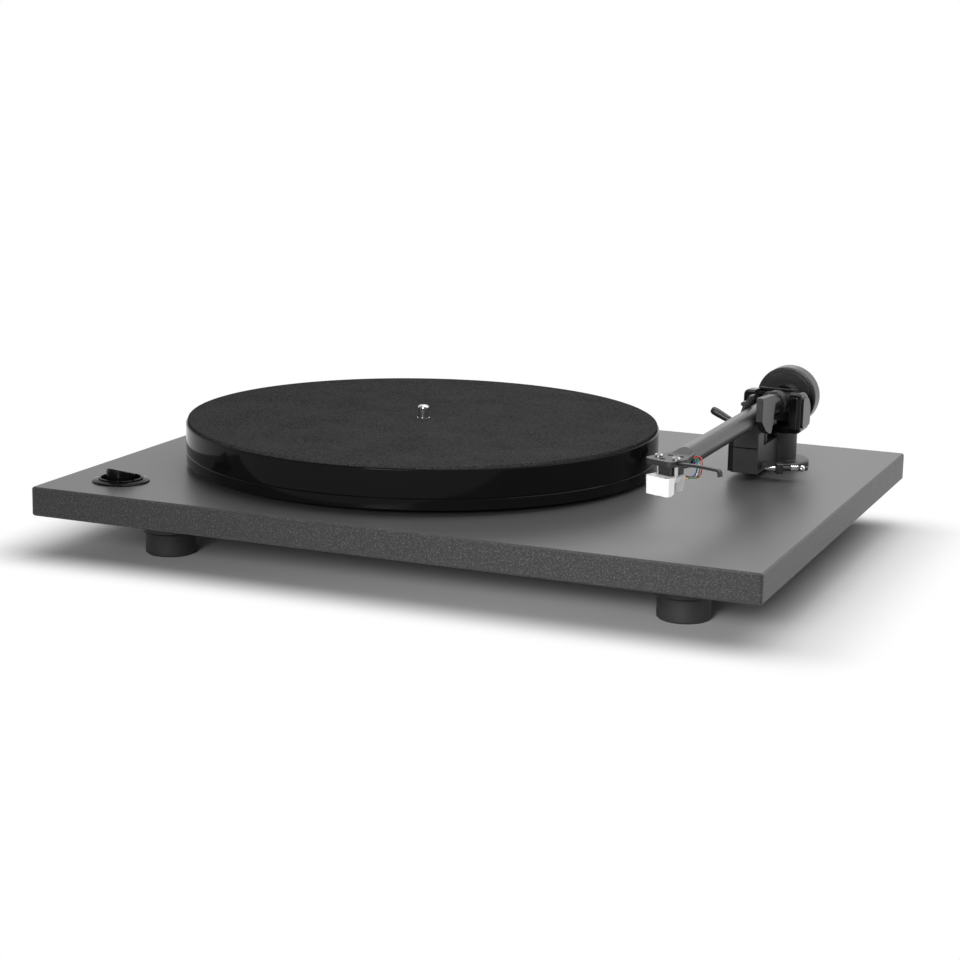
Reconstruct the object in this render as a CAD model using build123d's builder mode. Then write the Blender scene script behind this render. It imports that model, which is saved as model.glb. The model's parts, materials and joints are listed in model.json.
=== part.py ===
"""Belt-drive turntable record player on a slim slab plinth, with a gimbal-yoke arm.

Millimetres. Origin under the middle of the plinth, on the ground; +X right, -Y front, +Z up.
"""
import os
from math import cos, radians, sin, tan

from build123d import *

os.makedirs("parts", exist_ok=True)

# Plinth and feet
plinth_width = 450.0
plinth_depth = 354.0
plinth_thick = 17.7
plinth_corner = 1.8
plinth_arris = 1.0
foot_inset = 60.2
foot_height = 28.8
foot_radius = 15.4
collar_radius = 18.0
collar_height = 15.0
foot_edge = 1.0
screw_radius = 2.0
screw_bite = 10.0
screw_head_radius = 4.0
screw_head_thick = 2.4
screw_recess = 7.0

# Platter, mat and spindle
platter_x = -46.1
platter_y = -4.0
platter_radius = 149.5
platter_gap = 3.2
platter_arris = 0.9
ring_height = 7.0
ring_bore_radius = 112.0
ring_line = 0.5
disc_height = 17.4
mat_radius = 148.4
mat_thick = 2.2
spindle_radius = 3.575
spindle_rise = 7.9
spindle_point = 1.6
shaft_radius = 4.0

# Main bearing
running_gap = 0.05
housing_radius = 9.5
housing_flange_radius = 16.0
housing_flange_thick = 2.0
housing_drop = 32.5
ball_radius = 2.4
housing_floor = 3.0
nut_flats = 28.0
nut_thick = 6.0
fit_gap = 0.1

# Belt drive
sub_radius = 66.0
sub_lift = 0.6
belt_below_disc = 1.1
belt_height = 3.6
belt_thick = 0.8
belt_gap = 0.3
motor_distance = 88.0
motor_angle = 135.0
pulley_radius = 8.8
pulley_fast_radius = 11.9
pulley_below_disc = 0.5
pulley_above_top = 1.0
pulley_lip = 0.3
motor_radius = 19.0
motor_height = 33.0
motor_below_top = 2.0
motor_shaft_radius = 1.5
pad_thick = 2.5
cover_wall = 1.6
cover_gap = 2.0
cover_flange = 9.0
cover_screw_radius = 1.6
cover_screw_head_radius = 3.0
cover_screw_bite = 7.0

# Rocker switch
switch_inset_x = 38.3
switch_inset_y = 39.0
bezel_radius = 17.4
bezel_height = 2.6
bezel_edge = 1.2
bezel_slope = 0.6
bezel_lip = 3.4
bezel_dish = 0.9
switch_bore = 12.0
switch_wall = 0.9
switch_drop = 13.0
rocker_radius = 8.6
rocker_rise = 7.7
rocker_slope = 13.0
rocker_pin_radius = 1.2
rocker_pin_below_top = 2.0
rocker_skirt = 4.0
rocker_edge = 0.8
switch_body_gap = 0.4

# Cable glands
gland_size = 12.0
gland_round = 2.0
gland_hole_radius = 2.6
gland_left_inset = 75.0
gland_right_inset = 105.0

# Arm base, yoke and arm
pivot_x = 156.0
pivot_y = 105.5
arm_height = 40.5
flange_radius = 21.0
flange_thick = 3.5
flange_edge = 0.8
pillar_radius = 12.8
pillar_height = 22.5
stem_radius = 9.0
stem_drop = 27.0
arm_nut_flats = 27.0
arm_nut_thick = 5.5
arm_washer_thick = 1.5
arm_washer_rim = 5.0
bearing_radius = 6.5
bearing_width = 5.0
bearing_inset = 4.0
yoke_spindle_radius = 3.0
yoke_gap = 0.6
yoke_width = 38.0
yoke_cheek = 7.5
yoke_front = 19.0
yoke_back = 7.0
yoke_rise = 26.8
yoke_floor = 4.0
yoke_bar_gap = 0.9
yoke_bar_front = 1.0
yoke_slope = 1.0
yoke_shoulder = 9.0
yoke_round = 4.0
yoke_edge = 1.2
yoke_panel = 1.2
yoke_panel_margin = 3.5
axle_radius = 2.0
axle_bite = 3.0
pivot_screw_radius = 3.2
pivot_screw_gap = 0.2
axle_end_gap = 0.3
hub_side_gap = 1.0
hub_collar_radius = 8.0
hub_front = 12.0
hub_back = 10.0
hub_height = 10.6
hub_round = 3.0
hub_wall = 2.0
tube_radius = 6.15
tube_wall = 0.8
neck_length = 21.75
neck_run = 11.0
stub_radius = 5.0
stub_reach = 48.0
stub_edge = 0.6
slide_gap = 0.3
weight_radius = 19.5
weight_thick = 12.5
weight_start = 18.0
weight_edge = 1.0
weight_rim = 2.0
weight_groove = 1.6
weight_groove_depth = 1.0
weight_collar_radius = 8.2
weight_collar_length = 3.0

# Headshell and cartridge
head_reach = 224.75
head_shift = -3.35
offset_angle = 22.8
shell_thick = 3.2
shell_above_axis = 3.5
shell_half_width = 10.0
shell_front = 9.0
shell_corner = 4.0
shell_neck_round = 2.0
vent_radius = 1.7
screw_spacing = 12.7
cartridge_screw_radius = 1.2
cartridge_head_radius = 2.2
cartridge_head_thick = 1.4
mount_half_width = 5.0
mount_front = 2.5
mount_length = 11.5
cartridge_block = 6.3
cartridge_half_width = 8.2
cartridge_front = 2.9
cartridge_length = 11.4
cartridge_body = 9.0
cartridge_draft = 1.0
cartridge_lug = 3.0
cartridge_round = 1.0
guard_front = 9.3
guard_back = 5.0
guard_drop = 10.4
guard_lean = 0.4
guard_edge = 1.2
slot_half_width = 1.3
slot_length = 3.6
slot_depth = 2.2
stylus_forward = 7.6
stylus_drop = 21.0
stylus_height = 0.7
cantilever_radius = 0.4
cantilever_bite = 0.3
finger_length = 28.0
finger_width = 3.0
finger_thick = 1.5
finger_lift_rise = 0.9
finger_lift_drop = 3.4
pin_radius = 0.6
pin_length = 4.0
pin_bite = 0.5
pin_pitch = 3.0
pin_above_middle = 1.5
wire_radius = 0.4
wire_straight = 4.0
wire_bulge = 10.0
wire_step = 1.7
wire_mouth = 1.6
wire_share = 0.45

# Arm lift, clip and bias rod
lift_reach = 60.5
lift_left = 16.5
lift_right = 3.9
lift_float = 4.0
lift_low_height = 16.0
lift_top_height = 9.4
lift_top_depth = 13.0
lift_chamfer = 4.5
lift_groove = 0.6
clip_gap = 0.3
clip_depth = 8.0
clip_foot_left = 5.0
clip_wall = 4.3
wing_front = 18.5
wing_back = 12.5
wing_rise = 15.0
finger_root = 5.4
finger_gap = 0.6
finger_wall = 1.8
finger_rise = 12.6
lift_bar_reach = 33.0
lift_bar_shift = -0.5
lift_bar_travel = 3.0
lift_bar_length = 16.0
lift_bar_depth = 5.0
lift_bar_thick = 2.0
lift_bar_edge = 0.7
lift_post_radius = 2.5
lift_post_depth = 10.0
cue_left = 12.2
cue_reach = 41.0
cue_rise = 9.0
cue_length = 23.0
cue_slope = 26.0
cue_rod_radius = 1.9
cue_knob_radius = 2.4
cue_knob_length = 8.0
cue_knob_edge = 1.6
cue_hub_radius = 3.2
cue_hub_length = 7.0
cue_ear_thick = 2.0
cue_pin_radius = 1.5
bias_right = 8.5
bias_reach = 59.0
bias_above_top = 8.0
bias_angle = 28.0
bias_length = 27.0
bias_rod_radius = 1.6
bias_sleeve_radius = 2.3
bias_sleeve_length = 4.6
bias_sleeve_start = 16.0
bias_lug_start = 7.0
bias_lug_length = 4.0
bias_lug_width = 8.0
bias_lug_height = 6.4
bias_lug_round = 1.2
bias_arm_width = 5.0
bias_arm_thick = 4.8
bias_arm_back = 9.0
bias_taper = 5.0
bias_tip_radius = 0.5
bias_ball_rise = 0.5
bias_ball_inset = 3.6
bias_rib_width = 0.5
bias_rib_depth = 0.4
bias_ribs = 3

# Heights and places worked out from the sizes above
plinth_bottom = foot_height
plinth_top = foot_height + plinth_thick
ring_bottom = plinth_top + platter_gap
disc_bottom = ring_bottom + ring_height
disc_top = disc_bottom + disc_height
mat_top = disc_top + mat_thick
sub_bottom = plinth_top + housing_flange_thick + sub_lift
belt_z = disc_bottom - belt_below_disc - belt_height / 2
motor_x = platter_x + motor_distance * cos(radians(motor_angle))
motor_y = platter_y + motor_distance * sin(radians(motor_angle))
motor_hole_radius = motor_radius + pad_thick
motor_top = plinth_top - motor_below_top
motor_bottom = motor_top - motor_height
axis_z = plinth_top + arm_height
yoke_bottom = plinth_top + pillar_height + yoke_gap
yoke_top = yoke_bottom + yoke_rise
yoke_inner = yoke_width / 2 - yoke_cheek
shell_top = axis_z + shell_above_axis
shell_bottom = shell_top - shell_thick
screw_x = pivot_x + head_shift
screw_y = pivot_y - head_reach
lift_bottom = plinth_top + lift_float
lift_low_top = lift_bottom + lift_low_height
lift_top = lift_low_top + lift_top_height
cue_z = lift_low_top + cue_rise
lift_front_y = pivot_y - lift_reach
lift_left_x = pivot_x - lift_left
lift_right_x = pivot_x + lift_right
lift_at = (pivot_x + lift_bar_shift, pivot_y - lift_bar_reach)
cue_x = pivot_x - cue_left
cue_y = pivot_y - cue_reach
bias_x = pivot_x + bias_right
bias_y = pivot_y - bias_reach
switch_x = switch_inset_x - plinth_width / 2
switch_y = switch_inset_y - plinth_depth / 2
foot_x = plinth_width / 2 - foot_inset
foot_y = plinth_depth / 2 - foot_inset
foot_places = [(-foot_x, -foot_y), (foot_x, -foot_y), (0, foot_y)]
platter_at = (platter_x, platter_y)
motor_at = (motor_x, motor_y)
pivot_at = (pivot_x, pivot_y)
switch_at = (switch_x, switch_y)


def save(piece, name):
    piece.part.label = name
    export_step(piece.part, f"parts/{name}.step")


def disc(radius, low, high, places, mode=Mode.ADD):
    # An upright cylinder between two heights, at each of the places
    with BuildSketch(Plane.XY.offset(low), mode=Mode.PRIVATE) as outline:
        with Locations(*places):
            Circle(radius)
    extrude(outline.sketch, amount=high - low, mode=mode)


def bar(plane, radius, length, mode=Mode.ADD):
    # A round bar that starts at the plane and runs along its normal
    with BuildSketch(plane, mode=Mode.PRIVATE) as outline:
        Circle(radius)
    extrude(outline.sketch, amount=length, mode=mode)


def head_plane(height, right=0.0, back=0.0):
    # The headshell's own frame: +X to its right, +Y back along it, at the screw line
    turn = radians(offset_angle)
    x = screw_x + right * cos(turn) + back * sin(turn)
    y = screw_y - right * sin(turn) + back * cos(turn)
    return Plane(origin=(x, y, height), x_dir=(cos(turn), -sin(turn), 0), z_dir=(0, 0, 1))


def head_point(right, back, height):
    return head_plane(height, right, back).origin


def head_plan(right, back):
    point = head_point(right, back, 0)
    return (point.X, point.Y)


# Plinth: one slab, with through holes for the bearing, motor, arm and switch
with BuildPart() as plinth:
    with BuildSketch(Plane.XY.offset(plinth_bottom)):
        RectangleRounded(plinth_width, plinth_depth, plinth_corner)
    extrude(amount=plinth_thick)
    rims = plinth.faces().filter_by(Axis.Z).edges()
    chamfer(rims, plinth_arris)
    disc(housing_radius + fit_gap, plinth_bottom, plinth_top, [platter_at], Mode.SUBTRACT)
    disc(motor_hole_radius, plinth_bottom, plinth_top, [motor_at], Mode.SUBTRACT)
    disc(stem_radius + fit_gap, plinth_bottom, plinth_top, [pivot_at], Mode.SUBTRACT)
    disc(switch_bore + switch_wall + fit_gap, plinth_bottom, plinth_top, [switch_at], Mode.SUBTRACT)
    disc(screw_radius, plinth_bottom, plinth_bottom + screw_bite, foot_places, Mode.SUBTRACT)
    cover_places = []
    cover_pitch = motor_hole_radius + cover_gap + cover_wall + cover_flange / 2
    for corner in range(4):
        turn = radians(45 + 90 * corner)
        cover_places.append((motor_x + cover_pitch * cos(turn), motor_y + cover_pitch * sin(turn)))
    disc(cover_screw_radius, plinth_bottom, plinth_bottom + cover_screw_bite, cover_places, Mode.SUBTRACT)
save(plinth, "plinth")

# Feet: a hard collar under the plinth and a softer rubber foot below it
with BuildPart() as foot_collars:
    disc(collar_radius, foot_height - collar_height, foot_height, foot_places)
    chamfer(foot_collars.edges().filter_by(GeomType.CIRCLE).group_by(Axis.Z)[0], foot_edge)
    disc(screw_radius + fit_gap, foot_height - collar_height, foot_height, foot_places, Mode.SUBTRACT)
save(foot_collars, "foot_collars")

with BuildPart() as rubber_feet:
    disc(foot_radius, 0, foot_height - collar_height, foot_places)
    chamfer(rubber_feet.edges().filter_by(GeomType.CIRCLE).group_by(Axis.Z)[0], foot_edge)
    disc(screw_radius + fit_gap, 0, foot_height, foot_places, Mode.SUBTRACT)
    disc(screw_head_radius + fit_gap, 0, screw_recess, foot_places, Mode.SUBTRACT)
save(rubber_feet, "rubber_feet")

with BuildPart() as foot_screws:
    disc(screw_head_radius, screw_recess - screw_head_thick, screw_recess, foot_places)
    disc(screw_radius, screw_recess, plinth_bottom + screw_bite, foot_places)
save(foot_screws, "foot_screws")

# Main bearing: flanged housing, clamped by a nut, with a thrust ball on its floor
housing_bottom = plinth_top - housing_drop
bore_bottom = housing_bottom + housing_floor
shaft_bottom = bore_bottom + 2 * ball_radius
with BuildPart() as bearing_housing:
    disc(housing_flange_radius, plinth_top, plinth_top + housing_flange_thick, [platter_at])
    disc(housing_radius, housing_bottom, plinth_top, [platter_at])
    disc(shaft_radius + running_gap, bore_bottom, plinth_top + housing_flange_thick, [platter_at],
         Mode.SUBTRACT)
save(bearing_housing, "bearing_housing")

with BuildPart() as bearing_nut:
    with BuildSketch(Plane.XY.offset(plinth_bottom - nut_thick)):
        with Locations(platter_at):
            RegularPolygon(nut_flats / 2, 6, major_radius=False)
            Circle(housing_radius, mode=Mode.SUBTRACT)
    extrude(amount=nut_thick)
save(bearing_nut, "bearing_nut")

with BuildPart() as thrust_ball:
    with Locations((platter_x, platter_y, bore_bottom + ball_radius)):
        Sphere(ball_radius)
save(thrust_ball, "thrust_ball")

# Platter stack: shaft with record spindle, sub-platter, flywheel ring, disc and felt mat
with BuildPart() as spindle_shaft:
    disc(shaft_radius, shaft_bottom, mat_top, [platter_at])
    disc(spindle_radius, mat_top, mat_top + spindle_rise, [platter_at])
    fillet(spindle_shaft.edges().filter_by(GeomType.CIRCLE).group_by(Axis.Z)[-1], spindle_point)
save(spindle_shaft, "spindle_shaft")

with BuildPart() as sub_platter:
    disc(sub_radius, sub_bottom, disc_bottom, [platter_at])
    disc(shaft_radius, sub_bottom, disc_bottom, [platter_at], Mode.SUBTRACT)
save(sub_platter, "sub_platter")

with BuildPart() as flywheel_ring:
    disc(platter_radius, ring_bottom, disc_bottom, [platter_at])
    chamfer(flywheel_ring.edges().filter_by(GeomType.CIRCLE).group_by(Axis.Z)[0], platter_arris)
    chamfer(flywheel_ring.edges().filter_by(GeomType.CIRCLE).group_by(Axis.Z)[-1], ring_line)
    disc(ring_bore_radius, ring_bottom, disc_bottom, [platter_at], Mode.SUBTRACT)
save(flywheel_ring, "flywheel_ring")

with BuildPart() as platter_disc:
    disc(platter_radius, disc_bottom, disc_top, [platter_at])
    chamfer(platter_disc.edges().filter_by(GeomType.CIRCLE).group_by(Axis.Z)[0], ring_line)
    fillet(platter_disc.edges().filter_by(GeomType.CIRCLE).group_by(Axis.Z)[-1], platter_arris)
    disc(shaft_radius, disc_bottom, disc_top, [platter_at], Mode.SUBTRACT)
save(platter_disc, "platter_disc")

with BuildPart() as felt_mat:
    disc(mat_radius, disc_top, mat_top, [platter_at])
    chamfer(felt_mat.edges().filter_by(GeomType.CIRCLE).group_by(Axis.Z)[-1], mat_thick / 4)
    disc(shaft_radius, disc_top, mat_top, [platter_at], Mode.SUBTRACT)
save(felt_mat, "felt_mat")

# Motor, in a foam collar in its hole, with a screwed cover below
with BuildPart() as motor_can:
    disc(motor_radius, motor_bottom, motor_top, [motor_at])
    chamfer(motor_can.edges().filter_by(GeomType.CIRCLE), foot_edge)
    disc(motor_shaft_radius + running_gap, motor_top - motor_height / 2, motor_top, [motor_at],
         Mode.SUBTRACT)
save(motor_can, "motor_can")

with BuildPart() as motor_pad:
    disc(motor_hole_radius, plinth_bottom, motor_top - 2 * foot_edge, [motor_at])
    disc(motor_radius, plinth_bottom, motor_top - 2 * foot_edge, [motor_at], Mode.SUBTRACT)
save(motor_pad, "motor_pad")

cover_inner = motor_hole_radius + cover_gap
cover_bottom = motor_bottom - cover_wall
with BuildPart() as motor_cover:
    disc(cover_inner + cover_wall + cover_flange, plinth_bottom - cover_wall, plinth_bottom, [motor_at])
    disc(cover_inner + cover_wall, cover_bottom, plinth_bottom, [motor_at])
    disc(cover_inner, motor_bottom, plinth_bottom, [motor_at], Mode.SUBTRACT)
    disc(cover_screw_radius + fit_gap, plinth_bottom - cover_wall, plinth_bottom, cover_places,
         Mode.SUBTRACT)
save(motor_cover, "motor_cover")

with BuildPart() as motor_cover_screws:
    head_top = plinth_bottom - cover_wall
    disc(cover_screw_head_radius, head_top - cover_screw_radius, head_top, cover_places)
    disc(cover_screw_radius, head_top, plinth_bottom + cover_screw_bite, cover_places)
save(motor_cover_screws, "motor_cover_screws")

pulley_top = disc_bottom - pulley_below_disc
pulley_bottom = plinth_top + pulley_above_top
pulley_step = belt_z - belt_height / 2 - pulley_lip
with BuildPart() as motor_shaft:
    disc(motor_shaft_radius, motor_top - motor_height / 2 + foot_edge, pulley_top, [motor_at])
save(motor_shaft, "motor_shaft")

with BuildPart() as motor_pulley:
    disc(pulley_fast_radius, pulley_bottom, pulley_step, [motor_at])
    disc(pulley_radius, pulley_step, pulley_top, [motor_at])
    disc(motor_shaft_radius, pulley_bottom, pulley_top, [motor_at], Mode.SUBTRACT)
save(motor_pulley, "motor_pulley")

with BuildPart() as drive_belt:
    belt_inner = belt_gap
    belt_outer = belt_gap + belt_thick
    for grow, mode in ((belt_outer, Mode.ADD), (belt_inner, Mode.SUBTRACT)):
        with BuildSketch(Plane.XY.offset(belt_z - belt_height / 2), mode=Mode.PRIVATE) as loop:
            with Locations(platter_at):
                Circle(sub_radius + grow)
            with Locations(motor_at):
                Circle(pulley_radius + grow)
            make_hull()
        extrude(loop.sketch, amount=belt_height, mode=mode)
save(drive_belt, "drive_belt")

# Rocker switch: dished bezel, body below, and a rocker that turns on a pin
rocker_axis_z = plinth_top - rocker_pin_below_top
pin_half = switch_bore + switch_wall
with BuildPart() as switch_bezel:
    with BuildSketch(Plane.XZ.offset(-switch_y)):
        with BuildLine():
            Polyline((switch_x + switch_bore, plinth_top - switch_drop),
                     (switch_x + switch_bore + switch_wall, plinth_top - switch_drop),
                     (switch_x + switch_bore + switch_wall, plinth_top),
                     (switch_x + bezel_radius, plinth_top),
                     (switch_x + bezel_radius - bezel_slope, plinth_top + bezel_edge),
                     (switch_x + bezel_radius - bezel_lip, plinth_top + bezel_height),
                     (switch_x + switch_bore, plinth_top + bezel_height - bezel_dish),
                     close=True)
        make_face()
    revolve(axis=Axis((switch_x, switch_y, 0), (0, 0, 1)))
    pin_start = Plane(origin=(switch_x, switch_y - pin_half, rocker_axis_z), z_dir=(0, 1, 0))
    bar(pin_start, rocker_pin_radius + running_gap, 2 * pin_half, Mode.SUBTRACT)
save(switch_bezel, "switch_bezel")

with BuildPart() as switch_body:
    body_top = plinth_top - switch_drop
    disc(switch_bore + switch_wall, plinth_bottom + switch_body_gap, body_top, [switch_at])
    chamfer(switch_body.edges().group_by(Axis.Z)[0], foot_edge)
save(switch_body, "switch_body")

with BuildPart() as switch_rocker:
    disc(rocker_radius, rocker_axis_z - rocker_skirt, plinth_top + 2 * rocker_rise, [switch_at])
    slope = tan(radians(rocker_slope))
    with BuildSketch(Plane.XZ.offset(-switch_y)):
        with BuildLine():
            rise = plinth_top + rocker_rise
            far = 2 * rocker_radius
            Polyline((switch_x - far, rise + slope * (far - rocker_radius)),
                     (switch_x + far, rise - slope * (far + rocker_radius)),
                     (switch_x + far, rise + 4 * far), (switch_x - far, rise + 4 * far), close=True)
        make_face()
    extrude(amount=far, both=True, mode=Mode.SUBTRACT)
    fillet(switch_rocker.faces().sort_by(Axis.Z)[-1].edges(), rocker_edge)
    bar(pin_start, rocker_pin_radius, 2 * pin_half, Mode.SUBTRACT)
save(switch_rocker, "switch_rocker")

with BuildPart() as rocker_pin:
    bar(pin_start, rocker_pin_radius, 2 * pin_half)
save(rocker_pin, "rocker_pin")

# Cable glands under the rear edge, one for power and one for the signal leads
gland_y = plinth_depth / 2 - gland_size
gland_places = [gland_left_inset - plinth_width / 2, plinth_width / 2 - gland_right_inset]
with BuildPart() as cable_glands:
    for gland_x in gland_places:
        with BuildSketch(Plane.XY.offset(plinth_bottom - gland_size)):
            with Locations((gland_x, gland_y)):
                RectangleRounded(gland_size * 1.5, gland_size, gland_round)
        extrude(amount=gland_size)
        hole_start = Plane(origin=(gland_x, gland_y - gland_size, plinth_bottom - gland_size / 2),
                           z_dir=(0, 1, 0))
        bar(hole_start, gland_hole_radius, 2 * gland_size, Mode.SUBTRACT)
save(cable_glands, "cable_glands")

# Arm base: flange and pillar on the plinth, a stem through it, washer and nut below
pillar_top = plinth_top + pillar_height
stem_bottom = plinth_top - stem_drop
bearing_low = stem_bottom + bearing_inset
with BuildPart() as arm_base:
    disc(flange_radius, plinth_top, plinth_top + flange_thick, [pivot_at])
    chamfer(arm_base.edges().filter_by(GeomType.CIRCLE).group_by(Axis.Z)[-1], flange_edge)
    disc(pillar_radius, plinth_top + flange_thick, pillar_top, [pivot_at])
    disc(stem_radius, stem_bottom, plinth_top, [pivot_at])
    disc(bearing_radius, stem_bottom, pillar_top, [pivot_at], Mode.SUBTRACT)
save(arm_base, "arm_base")

with BuildPart() as arm_washer:
    disc(stem_radius + arm_washer_rim, plinth_bottom - arm_washer_thick, plinth_bottom, [pivot_at])
    disc(stem_radius + fit_gap, plinth_bottom - arm_washer_thick, plinth_bottom, [pivot_at], Mode.SUBTRACT)
save(arm_washer, "arm_washer")

with BuildPart() as arm_nut:
    nut_top = plinth_bottom - arm_washer_thick
    with BuildSketch(Plane.XY.offset(nut_top - arm_nut_thick)):
        with Locations(pivot_at):
            RegularPolygon(arm_nut_flats / 2, 6, major_radius=False)
            Circle(stem_radius, mode=Mode.SUBTRACT)
    extrude(amount=arm_nut_thick)
save(arm_nut, "arm_nut")

with BuildPart() as arm_bearings:
    for low in (bearing_low, pillar_top - bearing_width):
        disc(bearing_radius, low, low + bearing_width, [pivot_at])
        disc(yoke_spindle_radius + running_gap, low, low + bearing_width, [pivot_at], Mode.SUBTRACT)
save(arm_bearings, "arm_bearings")

# Yoke: a frame round the arm's hub, on a spindle that turns in the pillar
yoke_side = Plane(origin=(pivot_x - yoke_width / 2, pivot_y, 0), x_dir=(0, 1, 0), z_dir=(1, 0, 0))
window_low = yoke_bottom + yoke_floor
window_high = axis_z + hub_height / 2 + yoke_bar_gap
with BuildPart() as yoke_frame:
    with BuildSketch(yoke_side) as cheek_outline:
        with BuildLine():
            Polyline((-yoke_front, yoke_bottom), (-yoke_front, yoke_top),
                     (-yoke_bar_front, yoke_top - yoke_slope), (yoke_back, yoke_top - yoke_shoulder),
                     (yoke_back, yoke_bottom), close=True)
        make_face()
        fillet(cheek_outline.vertices(), yoke_round)
    extrude(amount=yoke_width)
    fillet(yoke_frame.faces().filter_by(Axis.X).edges(), yoke_edge)
    window = Plane(origin=(pivot_x - yoke_inner, pivot_y, 0), x_dir=(0, 1, 0), z_dir=(1, 0, 0))
    with BuildSketch(window):
        with BuildLine():
            Polyline((-2 * yoke_front, window_low), (-2 * yoke_front, 2 * yoke_top),
                     (-yoke_bar_front, 2 * yoke_top), (-yoke_bar_front, window_high),
                     (2 * yoke_front, window_high), (2 * yoke_front, window_low), close=True)
        make_face()
    extrude(amount=2 * yoke_inner, mode=Mode.SUBTRACT)
    for side in (-1, 1):
        cheek = Plane(origin=(pivot_x + side * yoke_width / 2, pivot_y, axis_z), z_dir=(-side, 0, 0))
        bar(cheek, axle_radius + running_gap, yoke_cheek, Mode.SUBTRACT)
        bar(cheek, pivot_screw_radius, yoke_cheek - axle_bite, Mode.SUBTRACT)
    disc(yoke_spindle_radius, yoke_bottom, yoke_bottom + yoke_floor, [pivot_at], Mode.SUBTRACT)
save(yoke_frame, "yoke_frame")

with BuildPart() as yoke_side_panel:
    panel = Plane(origin=(pivot_x + yoke_width / 2, pivot_y, 0), x_dir=(0, 1, 0), z_dir=(1, 0, 0))
    with BuildSketch(panel) as panel_outline:
        add(cheek_outline.sketch_local)
        offset(amount=-yoke_panel_margin, kind=Kind.INTERSECTION, mode=Mode.REPLACE)
    extrude(amount=yoke_panel)
    fillet(yoke_side_panel.faces().sort_by(Axis.X)[-1].edges(), yoke_panel / 2)
save(yoke_side_panel, "yoke_side_panel")

with BuildPart() as yoke_spindle:
    disc(yoke_spindle_radius, bearing_low, yoke_bottom + yoke_floor, [pivot_at])
save(yoke_spindle, "yoke_spindle")

with BuildPart() as pivot_screws:
    for side in (-1, 1):
        cheek = Plane(origin=(pivot_x + side * yoke_width / 2, pivot_y, axis_z), z_dir=(-side, 0, 0))
        bar(cheek, pivot_screw_radius, yoke_cheek - axle_bite - pivot_screw_gap)
save(pivot_screws, "pivot_screws")

# Arm: hub on its axle, straight tube, rear stub and counterweight
hub_half = yoke_inner - hub_side_gap
tube_front_y = screw_y + neck_length
tube_end = axle_radius + hub_wall
with BuildPart() as arm_hub:
    collar_seat = Plane(origin=(pivot_x, pivot_y - hub_front, axis_z), z_dir=(0, 1, 0))
    bar(collar_seat, hub_collar_radius, hub_front - tube_end)
    with BuildSketch(Plane.XZ.offset(-(pivot_y - tube_end))):
        with Locations((pivot_x, axis_z)):
            RectangleRounded(2 * hub_half, hub_height, hub_round)
    extrude(amount=-(tube_end + hub_back))
    bar(collar_seat, tube_radius, hub_front - tube_end, Mode.SUBTRACT)
    stub_seat = Plane(origin=(pivot_x, pivot_y + tube_end, axis_z), z_dir=(0, 1, 0))
    bar(stub_seat, stub_radius, hub_back, Mode.SUBTRACT)
    axle_half = yoke_inner + axle_bite - axle_end_gap
    axle_start = Plane(origin=(pivot_x - axle_half, pivot_y, axis_z), z_dir=(1, 0, 0))
    bar(axle_start, axle_radius, 2 * axle_half, Mode.SUBTRACT)
save(arm_hub, "arm_hub")

with BuildPart() as pivot_axle:
    bar(axle_start, axle_radius, 2 * axle_half)
save(pivot_axle, "pivot_axle")

tube_start = Plane(origin=(pivot_x, tube_front_y, axis_z), z_dir=(0, 1, 0))
tube_length = pivot_y - tube_end - tube_front_y
with BuildPart() as arm_tube:
    bar(tube_start, tube_radius, tube_length)
    bar(tube_start, tube_radius - tube_wall, tube_length, Mode.SUBTRACT)
save(arm_tube, "arm_tube")

with BuildPart() as counterweight_stub:
    bar(stub_seat, stub_radius, stub_reach - tube_end)
    chamfer(counterweight_stub.faces().sort_by(Axis.Y)[-1].edges(), stub_edge)
save(counterweight_stub, "counterweight_stub")

weight_face = Plane(origin=(pivot_x, pivot_y + weight_start, axis_z), z_dir=(0, 1, 0))
with BuildPart() as counterweight:
    bar(weight_face, weight_radius, weight_thick)
    fillet(counterweight.edges().filter_by(GeomType.CIRCLE), weight_edge)
    with BuildSketch(weight_face):
        Circle(weight_radius - weight_rim)
        Circle(weight_radius - weight_rim - weight_groove, mode=Mode.SUBTRACT)
    extrude(amount=weight_groove_depth, mode=Mode.SUBTRACT)
    bar(stub_seat, stub_radius + slide_gap, stub_reach, Mode.SUBTRACT)
save(counterweight, "counterweight")

with BuildPart() as weight_collar:
    collar_start = weight_face.offset(-weight_collar_length)
    bar(collar_start, weight_collar_radius, weight_collar_length)
    bar(collar_start, stub_radius + slide_gap, weight_collar_length, Mode.SUBTRACT)
save(weight_collar, "weight_collar")

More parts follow.
